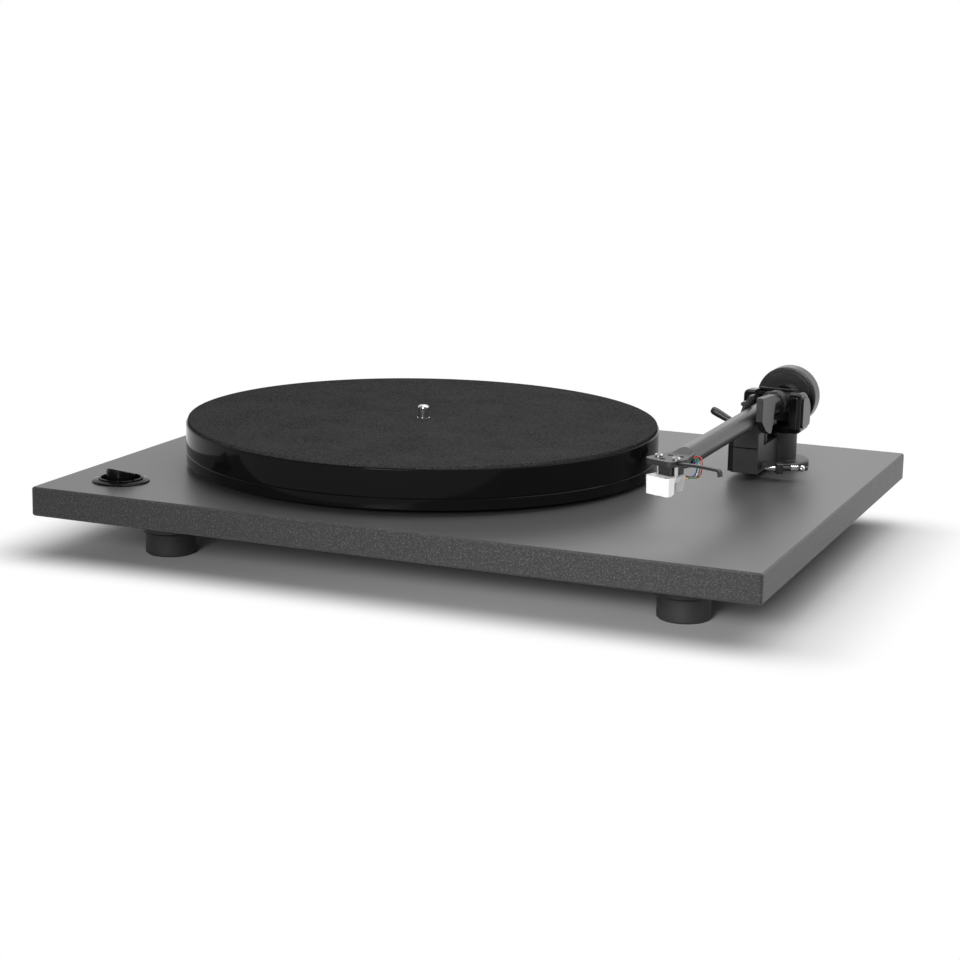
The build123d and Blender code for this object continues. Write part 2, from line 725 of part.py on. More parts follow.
# Headshell: a pierced plate that turns inward, with a neck that closes the top of the tube's mouth
screw_places = [(-screw_spacing / 2, 0), (screw_spacing / 2, 0)]
vent_places = [(0.0, -4.2), (-4.0, 7.2), (3.0, 8.0), (-5.2, 13.0)]
with BuildPart() as headshell:
    with BuildSketch(Plane.XY.offset(shell_bottom)):
        corner_x = shell_half_width - shell_corner
        for corner_y in (shell_corner - shell_front, shell_corner):
            with Locations(head_plan(-corner_x, corner_y), head_plan(corner_x, corner_y)):
                Circle(shell_corner)
        neck_x = tube_radius - shell_neck_round
        neck_y = tube_front_y - shell_neck_round
        with Locations((pivot_x - neck_x, neck_y), (pivot_x + neck_x, neck_y)):
            Circle(shell_neck_round)
        make_hull()
    extrude(amount=shell_thick)
    with BuildSketch(Plane(origin=(pivot_x, tube_front_y, axis_z), x_dir=(1, 0, 0), z_dir=(0, -1, 0))):
        Circle(tube_radius)
        with Locations((0, shell_bottom - axis_z - tube_radius)):
            Rectangle(2 * tube_radius, 2 * tube_radius, mode=Mode.SUBTRACT)
    extrude(amount=neck_run)
    with BuildSketch(Plane(origin=(pivot_x, tube_front_y, axis_z), x_dir=(0, -1, 0), z_dir=(-1, 0, 0))):
        with BuildLine():
            Polyline((0, tube_radius), (neck_run, shell_above_axis), (2 * neck_run, shell_above_axis),
                     (2 * neck_run, 2 * tube_radius), (0, 2 * tube_radius), close=True)
        make_face()
    extrude(amount=tube_radius, both=True, mode=Mode.SUBTRACT)
    disc(cartridge_screw_radius + fit_gap, shell_bottom, shell_top,
         [head_plan(*place) for place in screw_places], Mode.SUBTRACT)
    disc(vent_radius, shell_bottom, shell_top, [head_plan(*place) for place in vent_places], Mode.SUBTRACT)
save(headshell, "headshell")

with BuildPart() as finger_lift:
    lift_plane = head_plane(shell_bottom, shell_half_width, -finger_width / 2)
    with BuildSketch(Plane(origin=lift_plane.origin, x_dir=lift_plane.x_dir, z_dir=lift_plane.y_dir * -1)):
        with BuildLine():
            middle = shell_thick / 2
            crest = middle + finger_lift_rise
            lip = (finger_length + finger_thick / 2, crest - finger_lift_drop)
            FilletPolyline((0, middle), (finger_length / 2, crest), (finger_length, crest), lip,
                           radius=finger_thick)
        trace(line_width=finger_thick)
    extrude(amount=finger_width / 2, both=True)
    with BuildSketch(head_plane(shell_bottom - finger_length, shell_half_width - finger_length / 2)):
        Rectangle(finger_length, 4 * shell_front)
    extrude(amount=2 * finger_length, mode=Mode.SUBTRACT)
save(finger_lift, "finger_lift")

# Cartridge: dark mounting block between the screws, pale body with lugs, white stylus guard
block_bottom = shell_bottom - cartridge_block
body_bottom = block_bottom - cartridge_body
guard_bottom = block_bottom - guard_drop
stylus_z = shell_top - stylus_drop
with BuildPart() as cartridge_mount:
    with BuildSketch(head_plane(block_bottom, 0, mount_length / 2 - mount_front)):
        RectangleRounded(2 * mount_half_width, mount_length, cartridge_round)
    extrude(amount=cartridge_block)
save(cartridge_mount, "cartridge_mount")

with BuildPart() as cartridge_shell:
    body_middle = cartridge_length / 2 - cartridge_front
    body_width = 2 * (cartridge_half_width - cartridge_draft)
    with BuildSketch(head_plane(block_bottom, 0, body_middle)):
        RectangleRounded(body_width, cartridge_length, cartridge_round)
    with BuildSketch(head_plane(body_bottom, 0, body_middle - cartridge_draft / 2)):
        RectangleRounded(body_width - 2 * cartridge_draft, cartridge_length - cartridge_draft,
                         cartridge_round)
    loft()
    with BuildSketch(head_plane(block_bottom - cartridge_lug)):
        RectangleRounded(2 * cartridge_half_width, 2 * cartridge_front, cartridge_round)
    extrude(amount=cartridge_lug)
    disc(cartridge_screw_radius, block_bottom - cartridge_lug, block_bottom,
         [head_plan(*place) for place in screw_places], Mode.SUBTRACT)
save(cartridge_shell, "cartridge_shell")

slot_top = guard_bottom + slot_depth
with BuildPart() as stylus_holder:
    side_plane = head_plane(0, -cartridge_half_width)
    with BuildSketch(Plane(origin=side_plane.origin, x_dir=side_plane.y_dir, z_dir=side_plane.x_dir)):
        with BuildLine():
            Polyline((-cartridge_front, block_bottom), (-cartridge_front, body_bottom),
                     (-guard_back, guard_bottom), (guard_lean - guard_front, guard_bottom),
                     (-guard_front, block_bottom), close=True)
        make_face()
    extrude(amount=2 * cartridge_half_width)
    front = stylus_holder.faces().sort_by(Axis((0, 0, 0), side_plane.y_dir))[0]
    chamfer(front.edges().filter_by(lambda edge: abs(edge.tangent_at(0.5).Z) > 0.5), guard_edge)
    with BuildSketch(head_plane(guard_bottom, 0, -guard_back - slot_length / 2)):
        Rectangle(2 * slot_half_width, slot_length)
    extrude(amount=slot_depth, mode=Mode.SUBTRACT)
save(stylus_holder, "stylus_holder")

with BuildPart() as cantilever:
    root = head_point(0, cantilever_bite - guard_back, slot_top - 2 * cantilever_radius)
    tip = head_point(0, -stylus_forward, stylus_z + stylus_height)
    bar(Plane(origin=root, z_dir=tip - root), cantilever_radius, (tip - root).length)
    with Locations((tip.X, tip.Y, stylus_z + stylus_height / 2)):
        Cone(cantilever_radius / 4, cantilever_radius, stylus_height)
save(cantilever, "cantilever")

with BuildPart() as cartridge_screws:
    places = [head_plan(*place) for place in screw_places]
    disc(cartridge_screw_radius, block_bottom - cartridge_lug, shell_top, places)
    disc(cartridge_head_radius, shell_top, shell_top + cartridge_head_thick, places)
save(cartridge_screws, "cartridge_screws")

pin_z = (block_bottom + body_bottom) / 2 + pin_above_middle
pin_back = cartridge_length - cartridge_front - pin_bite
with BuildPart() as cartridge_pins:
    for index in range(4):
        start = head_point(pin_pitch * (index - 1.5), pin_back, pin_z)
        bar(Plane(origin=start, z_dir=head_plane(0).y_dir), pin_radius, pin_length)
save(cartridge_pins, "cartridge_pins")

# Tag wires: each loops out to the right of the neck and back into the open lower half of the tube
wire_names = ["wire_white", "wire_blue", "wire_red", "wire_green"]
for index, wire_name in enumerate(wire_names):
    across = pin_pitch * (index - 1.5)
    step = wire_step * index
    mouth_x = pivot_x + wire_mouth * (index - 1.5)
    right = pivot_x + wire_bulge + step
    route = [
        head_point(across, pin_back + pin_length, pin_z),
        head_point(across, pin_back + pin_length + wire_straight, pin_z),
        Vector(right - 5.5, tube_front_y - 5.0 - step * 0.9, pin_z - 1.0 - step * 0.6),
        Vector(right, tube_front_y - 7.5 - step * 0.3, pin_z + 1.2 - step * 0.4),
        Vector(right - 1.0, tube_front_y - 8.5 + step * 0.75, pin_z + 6.0),
        Vector(right - 6.0 - step * 0.3, tube_front_y - 8.0 + step * 0.75, pin_z + 7.4),
        Vector(mouth_x, tube_front_y - 4.0 + step * 0.2, axis_z - 2.4),
        Vector(mouth_x, tube_front_y + 2.0, axis_z - 2.0),
    ]
    radii = []
    for before, here, after in zip(route, route[1:], route[2:]):
        turn = radians((here - before).get_angle(after - here))
        shorter = min((here - before).length, (after - here).length)
        radii.append(wire_share * shorter / tan(turn / 2))
    with BuildPart() as wire:
        with BuildLine() as path:
            FilletPolyline(*route, radius=radii)
        with BuildSketch(Plane(origin=path.line @ 0, z_dir=path.line % 0)):
            Circle(wire_radius)
        sweep()
    save(wire, wire_name)

# Arm lift: housing on the arm base, with ears for the cue lever and a bore for the lift bar's post
with BuildPart() as lift_housing:
    with BuildSketch(Plane.XY.offset(lift_bottom)):
        with BuildLine():
            Polyline((lift_left_x + lift_chamfer, lift_front_y), (lift_right_x, lift_front_y),
                     (lift_right_x, pivot_y), (lift_left_x, pivot_y),
                     (lift_left_x, lift_front_y + lift_chamfer), close=True)
        make_face()
        with Locations(pivot_at):
            Circle(pillar_radius, mode=Mode.SUBTRACT)
    extrude(amount=lift_low_height)
    with BuildSketch(Plane.XY.offset(lift_low_top)):
        with BuildLine():
            tier_back = lift_front_y + lift_top_depth
            Polyline((lift_left_x + lift_chamfer, lift_front_y), (lift_right_x, lift_front_y),
                     (lift_right_x, tier_back), (lift_left_x, tier_back),
                     (lift_left_x, lift_front_y + lift_chamfer), close=True)
        make_face()
    extrude(amount=lift_top_height)
    with BuildSketch(Plane.XY.offset(lift_low_top - lift_groove / 2)):
        with Locations(((lift_left_x + lift_right_x) / 2, lift_front_y)):
            Rectangle(lift_right_x - lift_left_x, 2 * lift_groove)
    extrude(amount=lift_groove, mode=Mode.SUBTRACT)
    disc(lift_post_radius + running_gap, lift_low_top - lift_post_depth, lift_low_top, [lift_at],
         Mode.SUBTRACT)
    for side in (-1, 1):
        ear_y = cue_y + side * (cue_hub_length / 2 + clip_gap + cue_ear_thick / 2)
        with BuildSketch(Plane.XZ.offset(-(ear_y + cue_ear_thick / 2))):
            with Locations((cue_x, cue_z)):
                Circle(cue_hub_radius)
            with Locations((cue_x, (lift_low_top + cue_z) / 2)):
                Rectangle(2 * cue_hub_radius, cue_z - lift_low_top)
            with Locations((cue_x, cue_z)):
                Circle(cue_pin_radius + running_gap, mode=Mode.SUBTRACT)
        extrude(amount=cue_ear_thick)
save(lift_housing, "lift_housing")

# Arm clip: a cradle under the tube, with a broad guide wing on its right
clip_radius = tube_radius + clip_gap
clip_right = clip_radius + clip_wall
clip_front = Plane.XZ.offset(-lift_front_y)
clip_foot = lift_top - axis_z
with BuildPart() as arm_clip:
    with BuildSketch(clip_front):
        with BuildLine():
            finger_seat = -(tube_radius + finger_gap)
            seat_low = -finger_root - finger_wall
            rise = [(-clip_foot_left, clip_foot), (lift_right, clip_foot), (clip_right, clip_foot / 2),
                    (clip_right, 0), (clip_radius, 0)]
            Polyline(*[(pivot_x + x, axis_z + z) for x, z in rise])
            RadiusArc((pivot_x + clip_radius, axis_z), (pivot_x, axis_z - clip_radius), clip_radius)
            seat_left = finger_seat - finger_wall
            ramp = [(0, -clip_radius), (finger_seat, -finger_root), (seat_left, -finger_root),
                    (seat_left, seat_low), (-clip_foot_left, seat_low - finger_wall),
                    (-clip_foot_left, clip_foot)]
            Polyline(*[(pivot_x + x, axis_z + z) for x, z in ramp])
        make_face()
    extrude(amount=-clip_depth)
    wing_at = (pivot_x + clip_radius, lift_front_y, axis_z)
    with BuildSketch(Plane(origin=wing_at, x_dir=(0, 1, 0), z_dir=(1, 0, 0))) as wing:
        with BuildLine():
            wing_low = clip_foot * 0.9
            Polyline((-wing_front, wing_rise), (-wing_front, 0), (-wing_front / 2, clip_foot * 0.6),
                     (0, wing_low), (clip_depth / 2, wing_low), (clip_depth * 0.8, clip_foot / 2),
                     (clip_depth, 0), (wing_back, wing_rise * 0.85), close=True)
        make_face()
        fillet(wing.vertices(), clip_wall / 4)
    extrude(amount=clip_wall)
save(arm_clip, "arm_clip")

with BuildPart() as clip_finger:
    with BuildSketch(clip_front):
        with BuildLine():
            inner = -(tube_radius + finger_gap)
            outer = inner - finger_wall
            shoulder = finger_rise * 0.6
            lean = finger_wall * 3.0
            outline = [(inner, -finger_root), (inner, finger_wall), (inner + lean / 2, shoulder),
                       (inner + lean, finger_rise), (inner + lean * 0.6, finger_rise),
                       (inner + lean * 0.2, shoulder + 1.0), (outer, shoulder + 0.4),
                       (outer, shoulder - 1.0), (inner - finger_wall / 3, shoulder - 2.0),
                       (outer, finger_wall), (outer, -finger_root)]
            Polyline(*[(pivot_x + x, axis_z + z) for x, z in outline], close=True)
        make_face()
    extrude(amount=-clip_depth)
save(clip_finger, "clip_finger")

# Lift bar, raised just below the tube, on a post in the housing's bore
lift_bar_top = axis_z - tube_radius - clip_gap
with BuildPart() as lift_bar:
    with BuildSketch(Plane.XY.offset(lift_bar_top - lift_bar_thick)):
        with Locations(lift_at):
            RectangleRounded(lift_bar_length, lift_bar_depth, lift_bar_thick)
    extrude(amount=lift_bar_thick)
    fillet(lift_bar.faces().sort_by(Axis.Z)[-1].edges(), lift_bar_edge)
    post_bottom = lift_low_top - lift_post_depth + lift_bar_travel + clip_gap
    disc(lift_post_radius, post_bottom, lift_bar_top - lift_bar_thick, [lift_at])
save(lift_bar, "lift_bar")

# Cue lever: a rod with a grip, on a pin between two ears of the housing
cue_turn = radians(cue_slope)
cue_dir = Vector(-cos(cue_turn), 0, sin(cue_turn))
cue_centre = Vector(cue_x, cue_y, cue_z)
cue_rod_length = cue_length - cue_knob_length
with BuildPart() as cue_lever:
    hub_start = (cue_x, cue_y - cue_hub_length / 2, cue_z)
    bar(Plane(origin=hub_start, z_dir=(0, 1, 0)), cue_hub_radius, cue_hub_length)
    bar(Plane(origin=cue_centre, z_dir=cue_dir), cue_rod_radius, cue_rod_length)
    pin_span = cue_hub_length + 2 * (clip_gap + cue_ear_thick)
    bar(Plane(origin=(cue_x, cue_y - pin_span / 2, cue_z), z_dir=(0, 1, 0)), cue_pin_radius, pin_span)
save(cue_lever, "cue_lever")

with BuildPart() as cue_knob:
    grip_start = cue_centre + cue_dir * cue_rod_length
    bar(Plane(origin=grip_start, z_dir=cue_dir), cue_knob_radius, cue_knob_length)
    fillet(cue_knob.edges().filter_by(GeomType.CIRCLE), cue_knob_edge)
save(cue_knob, "cue_knob")

# Bias rod in its lug beside the housing, with a ribbed sleeve that slides on it
bias_turn = radians(bias_angle)
bias_z = plinth_top + bias_above_top


def bias_plane(along):
    x = bias_x + along * cos(bias_turn)
    y = bias_y + along * sin(bias_turn)
    return Plane(origin=(x, y, bias_z), x_dir=(-sin(bias_turn), cos(bias_turn), 0),
                 z_dir=(cos(bias_turn), sin(bias_turn), 0))


with BuildPart() as bias_bracket:
    with BuildSketch(bias_plane(bias_lug_start)):
        with Locations((bias_lug_width / 4, 0)):
            RectangleRounded(bias_lug_width, bias_lug_height, bias_lug_round)
    extrude(amount=bias_lug_length)
    arm_far = bias_x + (bias_lug_start + bias_lug_length / 2) * cos(bias_turn)
    with BuildSketch(Plane.XY.offset(bias_z - bias_arm_thick / 2)):
        with Locations(((lift_right_x + arm_far) / 2, bias_y + bias_arm_back)):
            Rectangle(arm_far - lift_right_x, bias_arm_width)
    extrude(amount=bias_arm_thick)
    bar(bias_plane(0), bias_rod_radius, bias_length, Mode.SUBTRACT)
save(bias_bracket, "bias_bracket")

with BuildPart() as bias_rod:
    knob_radius = bias_rod_radius + bias_ball_rise
    ball_at = bias_length - bias_ball_inset
    end_radius = bias_rod_radius * 0.8
    ball_start = ball_at - (knob_radius ** 2 - bias_rod_radius ** 2) ** 0.5
    ball_end = ball_at + (knob_radius ** 2 - end_radius ** 2) ** 0.5
    rod_plane = bias_plane(0)
    with BuildSketch(Plane(origin=rod_plane.origin, x_dir=rod_plane.z_dir, z_dir=rod_plane.x_dir)):
        with BuildLine():
            Polyline((ball_start, bias_rod_radius), (bias_taper, bias_rod_radius), (0, bias_tip_radius),
                     (0, 0), (bias_length, 0), (bias_length, end_radius), (ball_end, end_radius))
            ThreePointArc((ball_start, bias_rod_radius), (ball_at, knob_radius), (ball_end, end_radius))
        make_face()
    revolve(axis=Axis(rod_plane.origin, rod_plane.z_dir))
save(bias_rod, "bias_rod")

with BuildPart() as bias_sleeve:
    bar(bias_plane(bias_sleeve_start), bias_sleeve_radius, bias_sleeve_length)
    pitch = bias_sleeve_length / (bias_ribs + 1)
    for index in range(bias_ribs):
        with BuildSketch(bias_plane(bias_sleeve_start + pitch * (index + 1) - bias_rib_width / 2)):
            Circle(bias_sleeve_radius)
            Circle(bias_sleeve_radius - bias_rib_depth, mode=Mode.SUBTRACT)
        extrude(amount=bias_rib_width, mode=Mode.SUBTRACT)
    bar(bias_plane(bias_sleeve_start), bias_rod_radius + running_gap, bias_sleeve_length, Mode.SUBTRACT)
save(bias_sleeve, "bias_sleeve")
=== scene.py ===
import bpy, bmesh, json, math
from mathutils import Matrix, Vector


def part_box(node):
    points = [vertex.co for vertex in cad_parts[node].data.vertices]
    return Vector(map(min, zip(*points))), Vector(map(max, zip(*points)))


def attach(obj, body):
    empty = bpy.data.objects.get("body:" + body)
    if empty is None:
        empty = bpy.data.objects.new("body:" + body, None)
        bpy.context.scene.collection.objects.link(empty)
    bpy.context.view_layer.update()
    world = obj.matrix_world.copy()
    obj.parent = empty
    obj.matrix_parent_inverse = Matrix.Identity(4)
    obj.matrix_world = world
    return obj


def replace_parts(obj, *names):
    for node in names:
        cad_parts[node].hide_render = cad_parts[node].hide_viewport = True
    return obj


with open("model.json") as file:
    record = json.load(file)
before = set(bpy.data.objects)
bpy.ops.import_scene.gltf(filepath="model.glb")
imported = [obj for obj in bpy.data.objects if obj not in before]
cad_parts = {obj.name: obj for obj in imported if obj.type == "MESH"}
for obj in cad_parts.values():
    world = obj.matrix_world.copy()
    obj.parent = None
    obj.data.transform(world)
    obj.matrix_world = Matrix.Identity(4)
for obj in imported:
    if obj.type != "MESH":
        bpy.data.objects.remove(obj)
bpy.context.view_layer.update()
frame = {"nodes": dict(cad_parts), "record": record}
print("frame loaded, nodes:", len(frame["nodes"]))

scene = bpy.context.scene
scene.view_settings.view_transform = "Standard"
mm = 0.001
bodyOf = {node: body for body, nodes in frame["record"]["behaviour"]["bodies"].items() for node in nodes}
slotOf = {row["node"]: row["material_slot"] for row in frame["record"]["subparts"]}


# shader helpers

def clearTree(holder, outKind):
    holder.use_nodes = True
    tree = holder.node_tree
    tree.nodes.clear()
    return tree, tree.nodes.new(outKind)


def newMaterial(name):
    mat = bpy.data.materials.new(name)
    tree, out = clearTree(mat, "ShaderNodeOutputMaterial")
    shader = tree.nodes.new("ShaderNodeBsdfPrincipled")
    tree.links.new(shader.outputs[0], out.inputs[0])
    return mat, tree, shader


def setSockets(shader, **values):
    for label, value in values.items():
        shader.inputs[label.replace("_", " ")].default_value = value


def objectCoords(tree, stretch=(1, 1, 1), turn=(0, 0, 0)):
    coords = tree.nodes.new("ShaderNodeTexCoord")
    mapping = tree.nodes.new("ShaderNodeMapping")
    mapping.inputs["Scale"].default_value = stretch
    mapping.inputs["Rotation"].default_value = turn
    tree.links.new(coords.outputs["Object"], mapping.inputs["Vector"])
    return mapping.outputs[0]


def noise(tree, vector, scale, detail, rough):
    node = tree.nodes.new("ShaderNodeTexNoise")
    node.inputs["Scale"].default_value = scale
    node.inputs["Detail"].default_value = detail
    node.inputs["Roughness"].default_value = rough
    tree.links.new(vector, node.inputs["Vector"])
    return node.outputs["Fac"]


def ramp(tree, value, stops):
    node = tree.nodes.new("ShaderNodeValToRGB")
    while len(node.color_ramp.elements) < len(stops):
        node.color_ramp.elements.new(0.5)
    for element, (place, colour) in zip(node.color_ramp.elements, stops):
        element.position = place
        element.color = (colour, colour, colour, 1) if isinstance(colour, float) else (*colour, 1)
    tree.links.new(value, node.inputs["Fac"])
    return node.outputs["Color"]


def patchy(tree, value, colour, dark, pale):
    shade = lambda factor: tuple(c * factor for c in colour)
    return ramp(tree, value, [(0.3, shade(dark)), (0.7, shade(pale))])


def spread(tree, value, low, high):
    node = tree.nodes.new("ShaderNodeMapRange")
    node.inputs["To Min"].default_value = low
    node.inputs["To Max"].default_value = high
    tree.links.new(value, node.inputs["Value"])
    return node.outputs["Result"]


def smoothStep(tree, value, start, stop, low=0.0):
    node = tree.nodes.new("ShaderNodeMapRange")
    node.interpolation_type = "SMOOTHSTEP"
    node.inputs["From Min"].default_value = start
    node.inputs["From Max"].default_value = stop
    node.inputs["To Min"].default_value = low
    tree.links.new(value, node.inputs["Value"])
    return node.outputs["Result"]


def addBump(tree, shader, height, strength, distance):
    node = tree.nodes.new("ShaderNodeBump")
    node.inputs["Strength"].default_value = strength
    node.inputs["Distance"].default_value = distance
    tree.links.new(height, node.inputs["Height"])
    tree.links.new(node.outputs["Normal"], shader.inputs["Normal"])


def combine(tree, operation, first, second):
    node = tree.nodes.new("ShaderNodeMath")
    node.operation = operation
    tree.links.new(first, node.inputs[0])
    tree.links.new(second, node.inputs[1])
    return node.outputs[0]


# a mix node keeps separate sockets for numbers and for colours
mixSockets = {"FLOAT": (2, 3, 0), "RGBA": (6, 7, 2)}


def mixValues(tree, kind, share, first, second):
    node = tree.nodes.new("ShaderNodeMix")
    node.data_type = kind
    firstIn, secondIn, result = mixSockets[kind]
    tree.links.new(share, node.inputs[0])
    tree.links.new(first, node.inputs[firstIn])
    tree.links.new(second, node.inputs[secondIn])
    return node.outputs[result]


def mixShaders(tree, share, first, second, out):
    both = tree.nodes.new("ShaderNodeMixShader")
    tree.links.new(share, both.inputs[0])
    tree.links.new(first.outputs[0], both.inputs[1])
    tree.links.new(second.outputs[0], both.inputs[2])
    tree.links.new(both.outputs[0], out.inputs[0])


# finishes

# painted light: the up-facing faces get a lighter grey than the sides of the same lacquer, as if lit from above,
# and the sides a darker ground with real flecks
plinthFinish = {
    "facesUp": (0.55, 0.92), "bump": 0.55, "bumpDepth": 0.35 * mm,
    "top": (0.062, 0.062, 0.063), "topVary": (0.93, 1.06), "topRough": 0.38, "cloud": 9.0,
    "grain": 1500.0, "grainHeight": (0.46, 0.54),
    "edgeDark": (0.011, 0.011, 0.0113), "edgeMid": (0.026, 0.026, 0.0265), "fleck": (0.105, 0.105, 0.108),
    "edgeStops": (0.42, 0.56, 0.72), "edgeRough": 0.42, "fleckScale": 1050.0,
}


def plinthLacquer():
    mat, tree, shader = newMaterial("plinthLacquer")
    look = plinthFinish
    coords = objectCoords(tree)
    geometry = tree.nodes.new("ShaderNodeNewGeometry")
    split = tree.nodes.new("ShaderNodeSeparateXYZ")
    tree.links.new(geometry.outputs["Normal"], split.inputs[0])
    facesUp = ramp(tree, split.outputs["Z"], list(zip(look["facesUp"], (0.0, 1.0))))
    flecks = noise(tree, coords, look["fleckScale"], detail=3.0, rough=0.65)
    edgeColours = (look["edgeDark"], look["edgeMid"], look["fleck"])
    edge = ramp(tree, flecks, list(zip(look["edgeStops"], edgeColours)))
    cloud = noise(tree, coords, look["cloud"], detail=2.0, rough=0.5)
    top = patchy(tree, cloud, look["top"], *look["topVary"])
    # painted light: facesUp swaps the sides' darker grey for the lighter top grey
    tree.links.new(mixValues(tree, "RGBA", facesUp, edge, top), shader.inputs["Base Color"])
    tree.links.new(spread(tree, facesUp, look["edgeRough"], look["topRough"]), shader.inputs["Roughness"])
    grain = spread(tree, noise(tree, coords, look["grain"], detail=2.0, rough=0.5), *look["grainHeight"])
    addBump(tree, shader, mixValues(tree, "FLOAT", facesUp, flecks, grain), look["bump"], look["bumpDepth"])
    return mat


glossFinish = {"smear": 60.0, "smearRough": (0.75, 1.35), "ripple": 700.0, "rippleDepth": 0.06 * mm}


def glossBlack(name, colour, rough, wobble, level):
    mat, tree, shader = newMaterial(name)
    look = glossFinish
    coords = objectCoords(tree)
    setSockets(shader, Base_Color=(*colour, 1), Specular_IOR_Level=level)
    smear = noise(tree, coords, look["smear"], detail=3.0, rough=0.55)
    least, most = look["smearRough"]
    tree.links.new(spread(tree, smear, rough * least, rough * most), shader.inputs["Roughness"])
    ripple = noise(tree, coords, look["ripple"], detail=2.0, rough=0.5)
    addBump(tree, shader, ripple, wobble, look["rippleDepth"])
    return mat


mouldFinish = {"patch": 140.0, "smoother": 0.06, "rougher": 0.08, "grainDepth": 0.12 * mm}


def mouldedPlastic(name, colour, rough, scale=1800.0, depth=0.35, vary=0.13):
    mat, tree, shader = newMaterial(name)
    look = mouldFinish
    coords = objectCoords(tree)
    patches = noise(tree, coords, look["patch"], detail=3.0, rough=0.6)
    tree.links.new(patchy(tree, patches, colour, 1 - vary, 1 + vary), shader.inputs["Base Color"])
    fine = noise(tree, coords, scale, detail=3.0, rough=0.6)
    roughness = spread(tree, fine, rough - look["smoother"], rough + look["rougher"])
    tree.links.new(roughness, shader.inputs["Roughness"])
    addBump(tree, shader, fine, depth, look["grainDepth"])
    return mat


feltFinish = {
    "dark": 0.009, "mid": 0.022, "pale": 0.055, "stops": (0.5, 0.95, 1.0), "bump": 0.8, "bumpDepth": 0.7 * mm,
    "fibre": 1300.0, "fibreStretch": (1, 1.6, 1), "fibreTurn": (0, 0, 0.6), "fibreShare": (0.45, 1.55),
    "tuft": 520.0, "tuftShare": (0.82, 1.18), "patch": 26.0, "patchShare": (0.93, 1.07),
}


def feltCloth():
    mat, tree, shader = newMaterial("feltCloth")
    look = feltFinish
    lengthwise = objectCoords(tree, look["fibreStretch"], look["fibreTurn"])
    fibre = noise(tree, lengthwise, look["fibre"], detail=5.0, rough=0.8)
    coords = objectCoords(tree)
    tuft = noise(tree, coords, look["tuft"], detail=4.0, rough=0.7)
    patch = noise(tree, coords, look["patch"], detail=3.0, rough=0.6)
    mixed = spread(tree, fibre, *look["fibreShare"])
    mixed = combine(tree, "MULTIPLY", mixed, spread(tree, tuft, *look["tuftShare"]))
    mixed = combine(tree, "MULTIPLY", mixed, spread(tree, patch, *look["patchShare"]))
    greys = (look["dark"], look["mid"], look["pale"])
    tree.links.new(ramp(tree, mixed, list(zip(look["stops"], greys))), shader.inputs["Base Color"])
    setSockets(shader, Roughness=1.0, Specular_IOR_Level=0.0)
    addBump(tree, shader, mixed, look["bump"], look["bumpDepth"])
    return mat


metalFinish = {"stretch": (1, 1, 14), "line": 900.0, "lineDark": 0.85, "lineRough": (0.7, 1.3), "bump": 0.12,
               "bumpDepth": 0.05 * mm}


def brushedMetal(name, colour, rough):
    mat, tree, shader = newMaterial(name)
    look = metalFinish
    lines = noise(tree, objectCoords(tree, look["stretch"]), look["line"], detail=3.0, rough=0.6)
    tree.links.new(patchy(tree, lines, colour, look["lineDark"], 1.0), shader.inputs["Base Color"])
    setSockets(shader, Metallic=1.0)
    least, most = look["lineRough"]
    tree.links.new(spread(tree, lines, rough * least, rough * most), shader.inputs["Roughness"])
    addBump(tree, shader, lines, look["bump"], look["bumpDepth"])
    return mat


sleeveFinish = {"patch": 900.0, "dark": 0.8, "rough": 0.45}


def wireSleeve(name, colour):
    mat, tree, shader = newMaterial(name)
    look = sleeveFinish
    patches = noise(tree, objectCoords(tree), look["patch"], detail=2.0, rough=0.5)
    tree.links.new(patchy(tree, patches, colour, look["dark"], 1.0), shader.inputs["Base Color"])
    setSockets(shader, Roughness=look["rough"])
    return mat


finishes = {
    "plinth_lacquer": plinthLacquer(),
    "platter_gloss": glossBlack("platterGloss", (0.0055, 0.0055, 0.0057), rough=0.07, wobble=0.02, level=0.05),
    "felt": feltCloth(),
    "rubber": mouldedPlastic("footRubber", (0.024, 0.024, 0.0245), 0.6, scale=1400.0, depth=0.3),
    "black_plastic": mouldedPlastic("blackPlastic", (0.012, 0.012, 0.0125), 0.42),
    "gloss_black": glossBlack("glossBlack", (0.005, 0.005, 0.0052), rough=0.14, wobble=0.04, level=0.15),
    "arm_grey": mouldedPlastic("armGrey", (0.013, 0.013, 0.0132), 0.30, scale=2600.0, depth=0.18),
    "arm_moulding": mouldedPlastic("armMoulding", (0.012, 0.012, 0.0122), 0.40, scale=2200.0, depth=0.25),
    "steel": brushedMetal("turnedSteel", (0.55, 0.55, 0.56), 0.24),
    "chrome": brushedMetal("brightChrome", (0.82, 0.82, 0.84), 0.1),
    "aluminium": brushedMetal("turnedAluminium", (0.55, 0.55, 0.56), 0.32),
    "motor_steel": brushedMetal("platedSteel", (0.42, 0.43, 0.44), 0.4),
    "pale_grey": mouldedPlastic("paleGrey", (0.56, 0.56, 0.55), 0.45, scale=2200.0, depth=0.2, vary=0.03),
    "stylus_white": mouldedPlastic("stylusWhite", (0.92, 0.92, 0.91), 0.32, scale=2200.0, depth=0.1, vary=0.02),
    "foam": mouldedPlastic("blackFoam", (0.03, 0.03, 0.03), 0.95, scale=700.0, depth=0.8),
    "brass": brushedMetal("plainBrass", (0.72, 0.54, 0.26), 0.3),
    "wire_white": wireSleeve("whiteSleeve", (0.80, 0.80, 0.78)),
    "wire_blue": wireSleeve("blueSleeve", (0.05, 0.12, 0.45)),
    "wire_red": wireSleeve("redSleeve", (0.50, 0.03, 0.035)),
    "wire_green": wireSleeve("greenSleeve", (0.03, 0.20, 0.07)),
}
for node, piece in frame["nodes"].items():
    piece.data.materials.clear()
    piece.data.materials.append(finishes[slotOf[node]])
print("finishes made:", len(finishes))


# mesh helpers

meshLook = {"sharp": math.radians(32.0), "weld": 0.004 * mm, "flat": math.radians(1.2), "spinWeld": 0.002 * mm,
            "eased": math.radians(24.0), "easedSteps": 3}


